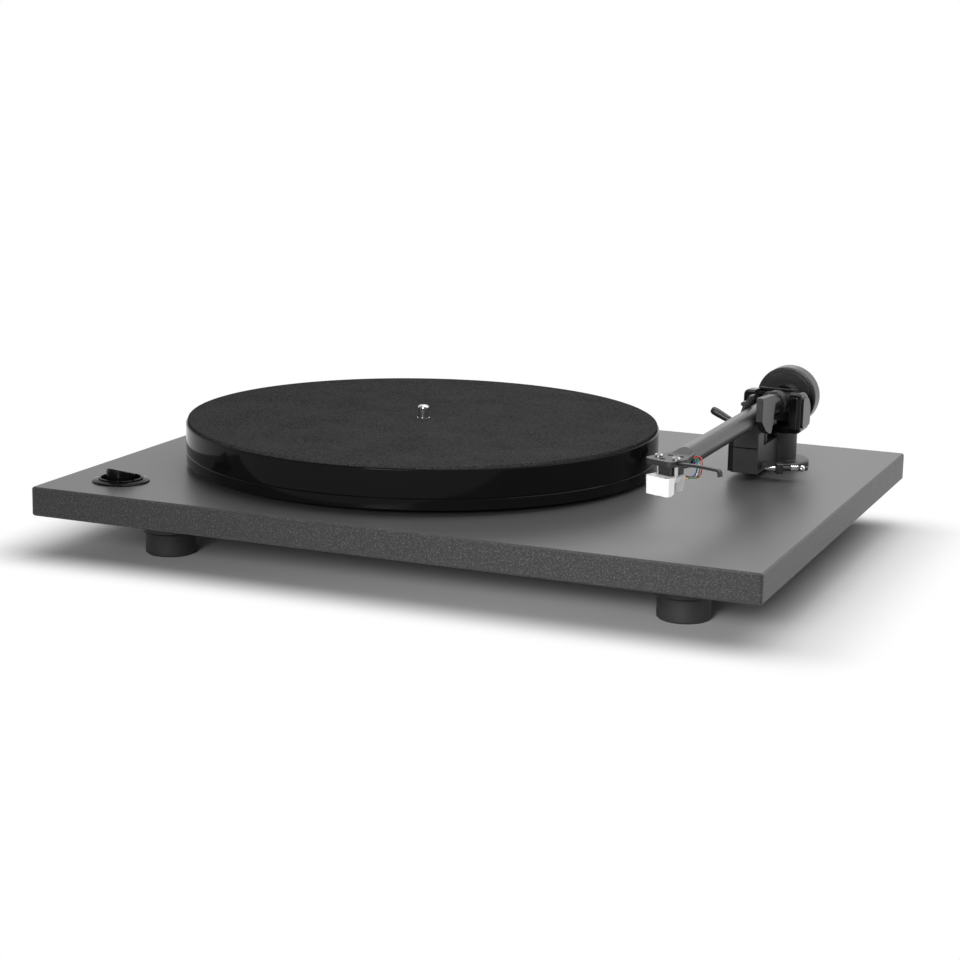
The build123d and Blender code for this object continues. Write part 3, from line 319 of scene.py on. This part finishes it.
def finishPiece(name, bm, node, slot=None):
    mesh = bpy.data.meshes.new(name)
    bm.to_mesh(mesh)
    bm.free()
    for face in mesh.polygons:
        face.use_smooth = True
    mesh.set_sharp_from_angle(angle=meshLook["sharp"])
    piece = bpy.data.objects.new(name, mesh)
    scene.collection.objects.link(piece)
    mesh.materials.append(finishes[slot or slotOf[node]])
    flat = piece.modifiers.new("flatFaces", "WEIGHTED_NORMAL")  # large faces keep their own normal
    flat.keep_sharp = True
    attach(piece, bodyOf[node])
    return piece


def nodeCopy(node):
    bm = bmesh.new()
    bm.from_mesh(frame["nodes"][node].data)
    bmesh.ops.remove_doubles(bm, verts=bm.verts, dist=meshLook["weld"])
    bmesh.ops.dissolve_limit(bm, angle_limit=meshLook["flat"], verts=bm.verts, edges=bm.edges)
    return bm


def roundEdges(bm, edges, width, segments):
    bmesh.ops.bevel(bm, geom=edges, offset=width, offset_type="OFFSET", affect="EDGES", segments=segments,
                    profile=0.5, material=-1, clamp_overlap=True)


def softCopy(node, name, width, slot=None):
    bm = nodeCopy(node)
    if width:
        edges = [e for e in bm.edges if e.is_manifold and e.calc_face_angle(0) > meshLook["eased"]]
        roundEdges(bm, edges, width, meshLook["easedSteps"])
    piece = finishPiece(name, bm, node, slot)
    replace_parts(piece, node)


def turned(name, node, profile, centre, segments, axis=(0, 0, 1), side=(1, 0, 0), slot=None):
    bm = bmesh.new()
    axis = Vector(axis)
    verts = [bm.verts.new(Vector(centre) + Vector(side) * r + axis * h) for r, h in profile]
    edges = [bm.edges.new(pair) for pair in zip(verts, verts[1:])]
    if profile[0][0] > 0 and profile[-1][0] > 0:
        edges.append(bm.edges.new((verts[-1], verts[0])))
    bmesh.ops.spin(bm, geom=verts + edges, cent=centre, axis=axis, angle=math.tau, steps=segments,
                   use_merge=True)
    bmesh.ops.remove_doubles(bm, verts=bm.verts, dist=meshLook["spinWeld"])
    bmesh.ops.recalc_face_normals(bm, faces=bm.faces)
    return finishPiece(name, bm, node, slot)


def roundCorner(r, h, radius, start, steps=5):
    turns = [math.radians(start + 90 * i / steps) for i in range(steps + 1)]
    return [(r + radius * math.cos(t), h + radius * math.sin(t)) for t in turns]


# platter stack

platterLook = {"arris": 0.9 * mm, "line": 0.5 * mm, "underRound": 0.8 * mm, "shaft": 4.0 * mm, "inner": 112.0 * mm,
               "segments": 256}


def makePlatter():
    look = platterLook
    low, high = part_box("platter_disc")
    centre = ((low.x + high.x) / 2, (low.y + high.y) / 2, 0)
    radius = (high.x - low.x) / 2
    rim = [(look["shaft"], low.z), (radius - look["line"], low.z), (radius, low.z + look["line"])]
    rim += roundCorner(radius - look["arris"], high.z - look["arris"], look["arris"], 0)
    rim += [(look["shaft"], high.z)]
    disc = turned("platterDisc", "platter_disc", rim, centre, look["segments"])
    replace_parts(disc, "platter_disc")
    low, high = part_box("flywheel_ring")
    rim = [(look["inner"], low.z)]
    rim += roundCorner(radius - look["underRound"], low.z + look["underRound"], look["underRound"], -90)
    rim += [(radius, high.z - look["line"]), (radius - look["line"], high.z), (look["inner"], high.z)]
    ring = turned("flywheelRing", "flywheel_ring", rim, centre, look["segments"])
    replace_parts(ring, "flywheel_ring")
    return centre


matLook = {"edgeRound": 0.7 * mm, "hole": 4.0 * mm, "segments": 256}


def makeMat(centre):
    look = matLook
    low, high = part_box("felt_mat")
    radius = (high.x - low.x) / 2
    rim = [(look["hole"], low.z), (radius, low.z)]
    rim += roundCorner(radius - look["edgeRound"], high.z - look["edgeRound"], look["edgeRound"], 0)
    rim += [(look["hole"], high.z)]
    mat = turned("feltMat", "felt_mat", rim, centre, look["segments"])
    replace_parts(mat, "felt_mat")


platterCentre = makePlatter()
makeMat(platterCentre)
print("platter and mat made")

# nodes that keep their form, with edges eased by this many mm
easedNodes = {
    "plinth": 0.3, "spindle_shaft": 0.0, "foot_collars": 0.0, "rubber_feet": 0.0,
    "arm_base": 0.4, "arm_hub": 0.4, "arm_tube": 0.2,
    "counterweight_stub": 0.0, "cartridge_mount": 0.25, "cartridge_shell": 0.2, "stylus_holder": 0.15,
    "lift_housing": 0.5, "arm_clip": 0.4, "clip_finger": 0.25, "lift_bar": 0.2, "cue_lever": 0.3,
    "bias_bracket": 0.3, "pivot_screws": 0.3, "motor_cover": 0.3, "cable_glands": 0.4,
    "bearing_nut": 0.3, "arm_nut": 0.3, "switch_body": 0.3, "bearing_housing": 0.3,
}
for node, width in easedNodes.items():
    words = node.split("_")
    softCopy(node, words[0] + "".join(word.title() for word in words[1:]), width * mm)

# the same, in another finish than the record's
refinished = {
    "headshell": ("headshellPlate", 0.3, "black_plastic"),
    "finger_lift": ("fingerLift", 0.2, "black_plastic"),
    "weight_collar": ("weightCollar", 0.5, "gloss_black"),
}
for node, (name, width, slot) in refinished.items():
    softCopy(node, name, width * mm, slot)
print("edges eased on", len(easedNodes) + len(refinished), "pieces")


# switch: stepped bezel, and a rocker whose top leans back
# edge points are mm in from the flange and up, ring points are mm out and up

switchLook = {
    "flange": 17.4 * mm, "tube": 12.9 * mm, "bore": 12.0 * mm, "drop": 13.0 * mm, "segments": 128,
    "edge": [(0.0, 0.5), (0.3, 0.9), (1.0, 1.2)],
    "rings": [(14.2, 1.6), (13.9, 1.35), (13.5, 1.35), (13.3, 2.3), (13.0, 2.55), (12.3, 2.6), (12.0, 2.3)],
    "lean": math.tan(math.radians(16)), "level": math.tan(math.radians(8)), "rise": 3.2 * mm,
    "radius": 8.6 * mm, "topFrom": 48.0 * mm,
}


def makeSwitch():
    look = switchLook
    low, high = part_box("switch_bezel")
    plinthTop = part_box("plinth")[1].z
    centre = Vector(((low.x + high.x) / 2, (low.y + high.y) / 2, plinthTop))
    flange, tube, drop = look["flange"], look["tube"], look["drop"]
    profile = [(look["bore"], -drop), (tube, -drop), (tube, 0), (flange, 0)]
    profile += [(flange - inwards * mm, up * mm) for inwards, up in look["edge"]]
    profile += [(out * mm, up * mm) for out, up in look["rings"]]
    bezel = turned("switchBezel", "switch_bezel", profile, centre, look["segments"], slot="platter_gloss")
    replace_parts(bezel, "switch_bezel")
    bm = nodeCopy("switch_rocker")
    middle, near = centre.x, centre.y - look["radius"]
    for vert in bm.verts:
        x, y, z = vert.co
        if z > look["topFrom"]:
            vert.co.z += look["rise"] + (x - middle) * look["level"] - (y - near) * look["lean"]
    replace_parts(finishPiece("switchRocker", bm, "switch_rocker"), "switch_rocker")


# arm yoke: two full-round cheeks, a bar over the pivot, a floor and a side panel
# front, crest and back are mm from the pivot, drops are from the frame's top

yokeLook = {
    "pivot": (156.0 * mm, 105.5 * mm, 87.0 * mm), "half": 19.0 * mm, "leftTrim": 0.15 * mm, "lap": 1.0 * mm,
    "cheek": {"thick": 7.5 * mm, "front": -19, "crest": -1, "crestDrop": 1.0 * mm, "back": 7, "backDrop": 9.0 * mm,
              "corner": 4.0 * mm, "outer": 2.8 * mm, "hole": 2.15 * mm},
    "bar": {"front": -1.2, "back": 1.8, "lowDrop": 3.05 * mm, "highDrop": 0.6 * mm, "corner": 1.1 * mm},
    "floor": {"front": -17.5, "back": 5.5, "thick": 4.0 * mm, "corner": 0.8 * mm},
    "panel": {"thick": 1.2 * mm, "sunk": 0.3 * mm, "front": -15.6, "frontDrop": 3.4 * mm, "crest": -3.0,
              "crestDrop": 3.9 * mm, "back": 3.6, "backDrop": 10.4 * mm, "rise": 3.4 * mm,
              "corner": 2.6 * mm, "outer": 0.6 * mm},
}
slabLook = {"steps": 6, "near": 0.001 * mm, "bite": 3.0 * mm, "holeSides": 32}


def onPlane(part, x):
    return all(abs(v.co.x - x) < slabLook["near"] for v in part.verts)


def slab(name, node, outline, start, depth, corner, outer=0.0, hole=0.0):
    look = slabLook
    py, pz = yokeLook["pivot"][1:]
    bm = bmesh.new()
    face = bm.faces.new([bm.verts.new((start, py + y * mm, z)) for y, z in outline])
    grown = bmesh.ops.extrude_face_region(bm, geom=[face])["geom"]
    bmesh.ops.translate(bm, verts=[v for v in grown if isinstance(v, bmesh.types.BMVert)], vec=(depth, 0, 0))
    bmesh.ops.holes_fill(bm, edges=bm.edges[:], sides=0)
    ridges = [e for e in bm.edges if abs(e.verts[0].co.x - e.verts[1].co.x) > abs(depth) / 2]
    roundEdges(bm, ridges, corner, look["steps"])
    if outer:
        roundEdges(bm, [e for e in bm.edges if onPlane(e, start)], outer, look["steps"])
    if hole:  # blind bore for the axle
        end = start + depth
        cap = next(f for f in bm.faces if onPlane(f, end))
        border = list(cap.edges)
        bmesh.ops.delete(bm, geom=[cap], context="FACES_ONLY")
        turn = Matrix.Translation((end, py, pz)) @ Matrix.Rotation(math.pi / 2, 4, "Y")
        ring = bmesh.ops.create_circle(bm, radius=hole, segments=look["holeSides"], matrix=turn)["verts"]
        mouth = [e for e in bm.edges if all(v in ring for v in e.verts)]
        bmesh.ops.triangle_fill(bm, edges=border + mouth, normal=(1, 0, 0), use_beauty=True)
        deep = bmesh.ops.extrude_edge_only(bm, edges=mouth)["geom"]
        floor = [v for v in deep if isinstance(v, bmesh.types.BMVert)]
        bmesh.ops.translate(bm, verts=floor, vec=(-math.copysign(look["bite"], depth), 0, 0))
        bmesh.ops.contextual_create(bm, geom=[e for e in deep if isinstance(e, bmesh.types.BMEdge)])
    bmesh.ops.recalc_face_normals(bm, faces=bm.faces)
    return finishPiece(name, bm, node)


def makeYoke():
    look = yokeLook
    low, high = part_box("yoke_frame")
    bottom, top = low.z, high.z
    px, half, trim = look["pivot"][0], look["half"], look["leftTrim"]
    part = look["cheek"]
    thick, rounding = part["thick"], (part["corner"], part["outer"], part["hole"])
    outline = [(part["front"], bottom), (part["front"], top), (part["crest"], top - part["crestDrop"]),
               (part["back"], top - part["backDrop"]), (part["back"], bottom)]
    left = slab("yokeLeftCheek", "yoke_frame", outline, px - half + trim, thick - trim, *rounding)
    slab("yokeRightCheek", "yoke_frame", outline, px + half, -thick, *rounding)
    inner = half - thick + look["lap"]
    part = look["bar"]
    lowest, highest = top - part["lowDrop"], top - part["highDrop"]
    outline = [(part["front"], lowest), (part["front"], highest), (part["back"], highest), (part["back"], lowest)]
    slab("yokeBar", "yoke_frame", outline, px - inner, 2 * inner, part["corner"])
    part = look["floor"]
    highest = bottom + part["thick"]
    outline = [(part["front"], bottom), (part["front"], highest), (part["back"], highest), (part["back"], bottom)]
    slab("yokeFloor", "yoke_frame", outline, px - inner, 2 * inner, part["corner"])
    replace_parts(left, "yoke_frame")
    part = look["panel"]
    lowest = bottom + part["rise"]
    outline = [(part["front"], lowest), (part["front"], top - part["frontDrop"]),
               (part["crest"], top - part["crestDrop"]), (part["back"], top - part["backDrop"]),
               (part["back"], lowest)]
    panel = slab("yokeSidePanel", "yoke_side_panel", outline, px + half + part["thick"],
                 -part["thick"] - part["sunk"], part["corner"], part["outer"])
    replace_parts(panel, "yoke_side_panel")


# counterweight with its ring groove

weightLook = {"bore": 5.3 * mm, "rim": 2.0 * mm, "groove": 1.5 * mm, "grooveDepth": 1.0 * mm, "edge": 1.0 * mm,
              "dish": 0.3 * mm, "segments": 128}


def makeWeight():
    look = weightLook
    low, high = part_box("counterweight")
    centre = Vector(((low.x + high.x) / 2, low.y, (low.z + high.z) / 2))
    radius, depth = (high.x - low.x) / 2, high.y - low.y
    groove = radius - look["rim"]
    face = groove - look["groove"]
    profile = [(look["bore"], look["dish"]), (face, 0), (face, look["grooveDepth"]),
               (groove, look["grooveDepth"]), (groove, 0)]
    profile += roundCorner(radius - look["edge"], look["edge"], look["edge"], -90)
    profile += roundCorner(radius - look["edge"], depth - look["edge"], look["edge"], 0)
    profile += [(look["bore"], depth)]
    weight = turned("balanceWeight", "counterweight", profile, centre, look["segments"], (0, 1, 0))
    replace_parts(weight, "counterweight")


# bias rod: bright point and ball on a dark rod, and a ringed sleeve

biasLook = {
    "start": (164.5 * mm, 46.5 * mm, 54.5 * mm), "turn": math.radians(28), "length": 27.0 * mm, "segments": 48,
    "rod": 1.5 * mm, "point": 0.5 * mm, "pointRadius": 1.6 * mm, "taper": 5.0 * mm, "collar": 1.2 * mm,
    "ballAt": 23.4 * mm, "ball": 2.1 * mm, "ballSteps": 15,
    "endShare": 0.85, "tipShare": 0.65, "tipRound": 0.3 * mm,
    "sleeve": (16.0 * mm, 20.6 * mm, 2.4 * mm), "sleeveGap": 0.1 * mm,
    "rings": 7, "ringDepth": 0.45 * mm, "ringEdges": (0.1, 0.9),
}


def makeBiasRod():
    look = biasLook
    rod, ballAt, length = look["rod"], look["ballAt"], look["length"]
    along = (math.cos(look["turn"]), math.sin(look["turn"]), 0)
    rest = {"centre": look["start"], "segments": look["segments"], "axis": along, "side": (0, 0, 1)}
    neck = look["taper"] + look["collar"]
    point = [(0, 0), (look["point"], 0), (look["pointRadius"], look["taper"]), (look["pointRadius"], neck),
             (0, neck)]
    turned("biasPoint", "bias_rod", point, slot="chrome", **rest)
    shank = turned("biasRod", "bias_rod", [(0, neck), (rod, neck), (rod, ballAt), (0, ballAt)], **rest)
    steps = look["ballSteps"]
    turns = [math.radians(-90 + 180 * i / steps) for i in range(steps + 1)]
    ball = [(max(look["ball"] * math.cos(t), 0), ballAt + look["ball"] * math.sin(t)) for t in turns]
    turned("biasBall", "bias_rod", ball, slot="chrome", **rest)
    stem, tip = rod * look["endShare"], rod * look["tipShare"]
    end = [(0, ballAt), (stem, ballAt), (stem, length - look["tipRound"]), (tip, length), (0, length)]
    turned("biasEnd", "bias_rod", end, **rest)
    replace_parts(shank, "bias_rod")
    start, stop, outer = look["sleeve"]
    bore = rod + look["sleeveGap"]
    pitch = (stop - start) / look["rings"]
    sleeve = [(bore, start)]
    for i in range(look["rings"]):
        radius = outer - look["ringDepth"] * (i % 2)
        sleeve += [(radius, start + pitch * (i + edge)) for edge in look["ringEdges"]]
    sleeve.append((bore, stop))
    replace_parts(turned("biasSleeve", "bias_sleeve", sleeve, **rest), "bias_sleeve")


# seam round the lift housing's front cover: a real groove line, drawn as thin strips of a darker, glossier black
# as painted shade in it

seamLook = {"top": 66.5 * mm, "low": 50.5 * mm, "wide": 0.45 * mm, "deep": 0.16 * mm, "leftInset": 1.6 * mm,
            "rightInset": 0.6 * mm, "shorter": 1.0 * mm}


def makeSeam():
    look = seamLook
    low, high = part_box("lift_housing")
    left, right = low.x + look["leftInset"], high.x - look["rightInset"]
    top, bottom, wide = look["top"], look["low"], look["wide"]
    runs = [((left + right) / 2, top, right - left, wide),
            (left, (top + bottom) / 2, wide, top - bottom - look["shorter"])]
    bm = bmesh.new()
    for x, z, width, height in runs:
        place = Matrix.Translation((x, low.y, z)) @ Matrix.Diagonal((width, look["deep"], height, 1))
        bmesh.ops.create_cube(bm, size=1.0, matrix=place)
    # painted shade: darker black strips along the cover's groove
    finishPiece("coverSeam", bm, "lift_housing", "gloss_black")


# cue lever's grip swells towards its tip; bulge points are shares of the swell and of the length

gripLook = {
    "pivot": (143.8 * mm, 64.5 * mm, 75.5 * mm), "slope": math.radians(26), "length": 23.0 * mm, "segments": 48,
    "root": 2.5 * mm, "waist": 2.0 * mm, "waistEnd": 0.3, "swell": 2.6 * mm,
    "bulge": [(0.92, 0.62), (1.0, 0.85), (0.94, 0.93), (0.7, 0.985), (0.3, 1.0)],
}


def makeGrip():
    look = gripLook
    along = (-math.cos(look["slope"]), 0, math.sin(look["slope"]))
    end, root, waist = look["length"], look["root"], look["waist"]
    profile = [(0, root), (waist, root), (waist, end * look["waistEnd"])]
    profile += [(look["swell"] * out, end * share) for out, share in look["bulge"]]
    profile += [(0, end)]
    grip = turned("cueGrip", "cue_knob", profile, look["pivot"], look["segments"], along, (0, 1, 0))
    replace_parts(grip, "cue_knob")


# the head's own frame, turned to the tube

headLook = {"pivot": (156.0 * mm, 105.5 * mm), "reach": 224.75 * mm, "shift": -3.35 * mm,
            "turn": math.radians(22.8), "tubeFront": -97.5 * mm, "axisZ": 87.0 * mm, "pinZ": 78.0 * mm,
            "pinEnd": 12.0 * mm}


def headPoint(right, back, height):
    turn = headLook["turn"]
    x = headLook["pivot"][0] + headLook["shift"] + right * math.cos(turn) + back * math.sin(turn)
    y = headLook["pivot"][1] - headLook["reach"] - right * math.sin(turn) + back * math.cos(turn)
    return Vector((x, y, height))


# cartridge screws, each head with a thin black cross standing in for its cross recess as painted shade

screwLook = {
    "out": 6.35 * mm, "low": 78.0 * mm, "plate": 90.5 * mm, "shank": 1.15 * mm, "segments": 32,
    "head": 2.4 * mm, "rise": 1.4 * mm, "wall": 0.55, "crown": 0.84, "crownDrop": 0.05 * mm,
    "recess": (2.4 * mm, 0.4 * mm, 0.2 * mm), "recessTurn": 0.6,
}


def makeScrews():
    look = screwLook
    low, plate, shank, head = look["low"], look["plate"], look["shank"], look["head"]
    top = plate + look["rise"]
    profile = [(0, low), (shank, low), (shank, plate), (head, plate), (head, plate + look["rise"] * look["wall"]),
               (head * look["crown"], top - look["crownDrop"]), (0, top)]
    screws = []
    for side in (-1, 1):
        centre = headPoint(side * look["out"], 0, 0)
        screws.append(turned("cartridgeScrew", "cartridge_screws", profile, centre, look["segments"],
                             slot="aluminium"))
        # painted shade: thin black boxes on the head, in place of a recess cut into it
        bm = bmesh.new()
        for turn in (look["recessTurn"], look["recessTurn"] + math.pi / 2):
            place = Matrix.Translation((centre.x, centre.y, top)) @ Matrix.Rotation(turn, 4, "Z")
            bmesh.ops.create_cube(bm, size=1.0, matrix=place @ Matrix.Diagonal((*look["recess"], 1)))
        finishPiece("screwRecess", bm, "cartridge_screws", "gloss_black")
    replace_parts(screws[0], "cartridge_screws")


# tag wires: each loop has its reach to the right, its top and its length
# bends are right, back and up, from the loop or the tube's mouth

wireLook = {
    "radius": 0.4 * mm, "roundSteps": 4, "order": 3, "steps": 12,
    "pinPitch": 3.0 * mm, "pinRun": 4.0 * mm, "lane": 1.1 * mm, "laneShare": 0.8,
    "turnOut": (-2.0 * mm, -5.6 * mm, -0.4 * mm), "climb": (0.0, -5.4 * mm, 3.0 * mm),
    "crest": (0.0, -4.8 * mm, 0.0), "over": (7.2 * mm, -2.4 * mm, 0.3 * mm),
    "dip": (6.4 * mm, -2.2 * mm, -0.2 * mm), "mouthPitch": 1.6 * mm, "mouthDrop": 4.6 * mm,
    "mouthGap": 2.0 * mm, "tubeRun": 2.0 * mm, "tubeDrop": 2.0 * mm,
    "loops": {"wire_white": (10.0 * mm, 87.2 * mm, 0.040), "wire_blue": (9.2 * mm, 86.4 * mm, 0.034),
              "wire_red": (12.4 * mm, 89.4 * mm, 0.0395), "wire_green": (11.4 * mm, 88.0 * mm, 0.0325)},
}


def makeWire(node, index):
    look = wireLook
    px, front, pinZ, axisZ = headLook["pivot"][0], headLook["tubeFront"], headLook["pinZ"], headLook["axisZ"]
    reach, top, length = look["loops"][node]
    place = index - (len(look["loops"]) - 1) / 2
    across, mouth, right = look["pinPitch"] * place, px + look["mouthPitch"] * place, px + reach
    lane = look["lane"] * index
    inside = axisZ - look["mouthDrop"] + look["laneShare"] * lane

    def bend(key, x, z):
        outwards, back, up = look[key]
        return Vector((x + outwards, front + back - lane, z + up))

    route = [
        headPoint(across, headLook["pinEnd"], pinZ),
        headPoint(across, headLook["pinEnd"] + look["pinRun"], pinZ),
        bend("turnOut", right, pinZ),
        bend("climb", right, pinZ),
        bend("crest", right, top),
        bend("over", px, top),
        bend("dip", px, inside),
        Vector((mouth, front - look["mouthGap"] - look["laneShare"] * lane, inside)),
        Vector((mouth, front + look["tubeRun"], axisZ - look["tubeDrop"])),
    ]
    curve = bpy.data.curves.new(node + "Lead", "CURVE")
    curve.dimensions = "3D"
    spline = curve.splines.new("NURBS")
    spline.points.add(len(route) - 1)
    for point, spot in zip(spline.points, route):
        point.co = (*spot, 1)
    spline.order_u = look["order"]
    spline.use_endpoint_u = True
    spline.resolution_u = look["steps"]
    curve.bevel_depth = look["radius"]
    curve.bevel_resolution = look["roundSteps"]
    curve.use_fill_caps = True
    curve.materials.append(finishes[node])
    lead = bpy.data.objects.new(node + "Lead", curve)
    scene.collection.objects.link(lead)
    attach(lead, "arm")
    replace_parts(lead, node)


makeSwitch()
makeYoke()
makeWeight()
makeBiasRod()
makeSeam()
makeGrip()
makeScrews()
print("switch and arm fittings made")
for index, node in enumerate(wireLook["loops"]):
    makeWire(node, index)
print("tag wires laid:", len(wireLook["loops"]))


# stage, camera and light

cameraLook = {"place": (0.50574, -1.25290, 0.33286), "turn": 22.295, "tilt": 12.26, "roll": 1.183, "lens": 81.96,
              "sensor": 36.0}


def makeCamera():
    look = cameraLook
    data = bpy.data.cameras.new("viewCamera")
    data.sensor_width = look["sensor"]
    data.lens = look["lens"]
    camera = bpy.data.objects.new("viewCamera", data)
    scene.collection.objects.link(camera)
    turn = Matrix.Rotation(math.radians(look["turn"]), 4, "Z")
    tilt = Matrix.Rotation(math.radians(90 - look["tilt"]), 4, "X")
    roll = Matrix.Rotation(math.radians(look["roll"]), 4, "Z")
    camera.matrix_world = Matrix.Translation(look["place"]) @ turn @ tilt @ roll
    scene.camera = camera


def seenRays(tree):
    rays = tree.nodes.new("ShaderNodeLightPath")
    total = rays.outputs["Is Camera Ray"]
    for label in ("Is Glossy Ray", "Is Transmission Ray"):
        total = combine(tree, "MAXIMUM", total, rays.outputs[label])
    return total


# the floor glows white away from the plinth, and keeps its shadow near it; near the plinth it is a matte grey,
# darker than the white, as painted shade that deepens the shadow

floorLook = {"half": 6.0, "colour": 0.62, "footprint": (0.232, 0.147, 1.0), "shadeNear": 0.0, "shadeFar": 0.055}


def makeFloor():
    look = floorLook
    bm = bmesh.new()
    bmesh.ops.create_grid(bm, x_segments=1, y_segments=1, size=look["half"])
    mesh = bpy.data.meshes.new("floor")
    bm.to_mesh(mesh)
    bm.free()
    floor = bpy.data.objects.new("floor", mesh)
    scene.collection.objects.link(floor)
    mat = bpy.data.materials.new("paleFloor")
    tree, out = clearTree(mat, "ShaderNodeOutputMaterial")
    matt = tree.nodes.new("ShaderNodeBsdfDiffuse")
    # painted shade: this matte grey is darker than the glow around it, so the floor darkens towards the plinth
    grey = look["colour"]
    matt.inputs["Color"].default_value = (grey, grey, grey, 1)
    glow = tree.nodes.new("ShaderNodeEmission")
    place = objectCoords(tree)
    for step, values in (("ABSOLUTE", None), ("SUBTRACT", look["footprint"]), ("MAXIMUM", (0, 0, 0))):
        node = tree.nodes.new("ShaderNodeVectorMath")
        node.operation = step
        tree.links.new(place, node.inputs[0])
        if values:
            node.inputs[1].default_value = values
        place = node.outputs["Vector"]
    length = tree.nodes.new("ShaderNodeVectorMath")
    length.operation = "LENGTH"
    tree.links.new(place, length.inputs[0])
    away = smoothStep(tree, length.outputs["Value"], look["shadeNear"], look["shadeFar"])
    mixShaders(tree, combine(tree, "MULTIPLY", seenRays(tree), away), matt, glow, out)
    mesh.materials.append(mat)


lampLook = {
    "overhead": {"place": (0.1, 0.15, 1.45), "aim": (0, 0, 0.05), "size": (0.8, 0.7), "power": 9.5, "spread": 180},
    "key": {"place": (0.8, 0.45, 1.2), "aim": (0, 0, 0.05), "size": (0.8, 0.8), "power": 8.0, "spread": 180},
    "front": {"place": (0.1, -1.3, 0.45), "aim": (0.06, -0.177, 0.04), "size": (0.4, 0.3), "power": 0.62,
              "spread": 38},
    "head": {"place": (0.3, -1.2, 0.42), "aim": (0.15, -0.12, 0.08), "size": (0.1, 0.1), "power": 0.06,
             "spread": 24},
    "rear": {"place": (-0.4, 1.5, 0.75), "aim": (0.15, -0.15, 0.05), "size": (0.8, 0.5), "power": 1.1,
             "spread": 180},
}


def makeLamps():
    for name, look in lampLook.items():
        data = bpy.data.lights.new(name, "AREA")
        data.shape = "RECTANGLE"
        data.size, data.size_y = look["size"]
        data.energy = look["power"]
        data.spread = math.radians(look["spread"])
        lamp = bpy.data.objects.new(name, data)
        scene.collection.objects.link(lamp)
        lamp.location = look["place"]
        ray = Vector(look["aim"]) - Vector(look["place"])
        lamp.rotation_euler = ray.to_track_quat("-Z", "Y").to_euler()


worldLook = {"ambient": 0.30, "frontRoom": 0.18, "from": -0.45, "to": 0.15}


def makeWorld():
    look = worldLook
    world = bpy.data.worlds.new("studio")
    scene.world = world
    tree, out = clearTree(world, "ShaderNodeOutputWorld")
    coords = tree.nodes.new("ShaderNodeTexCoord")
    split = tree.nodes.new("ShaderNodeSeparateXYZ")
    tree.links.new(coords.outputs["Generated"], split.inputs[0])
    room = smoothStep(tree, split.outputs["Y"], look["from"], look["to"], look["frontRoom"])
    rays = tree.nodes.new("ShaderNodeLightPath")
    white = combine(tree, "MAXIMUM", rays.outputs["Is Camera Ray"], room)  # the camera always sees white
    seen = tree.nodes.new("ShaderNodeBackground")
    unseen = tree.nodes.new("ShaderNodeBackground")
    for node in (seen, unseen):
        node.inputs["Color"].default_value = (1, 1, 1, 1)
    tree.links.new(white, seen.inputs["Strength"])
    unseen.inputs["Strength"].default_value = look["ambient"]
    mixShaders(tree, seenRays(tree), unseen, seen, out)


makeCamera()
makeFloor()
makeLamps()
makeWorld()
print("stage, camera and lamps set")
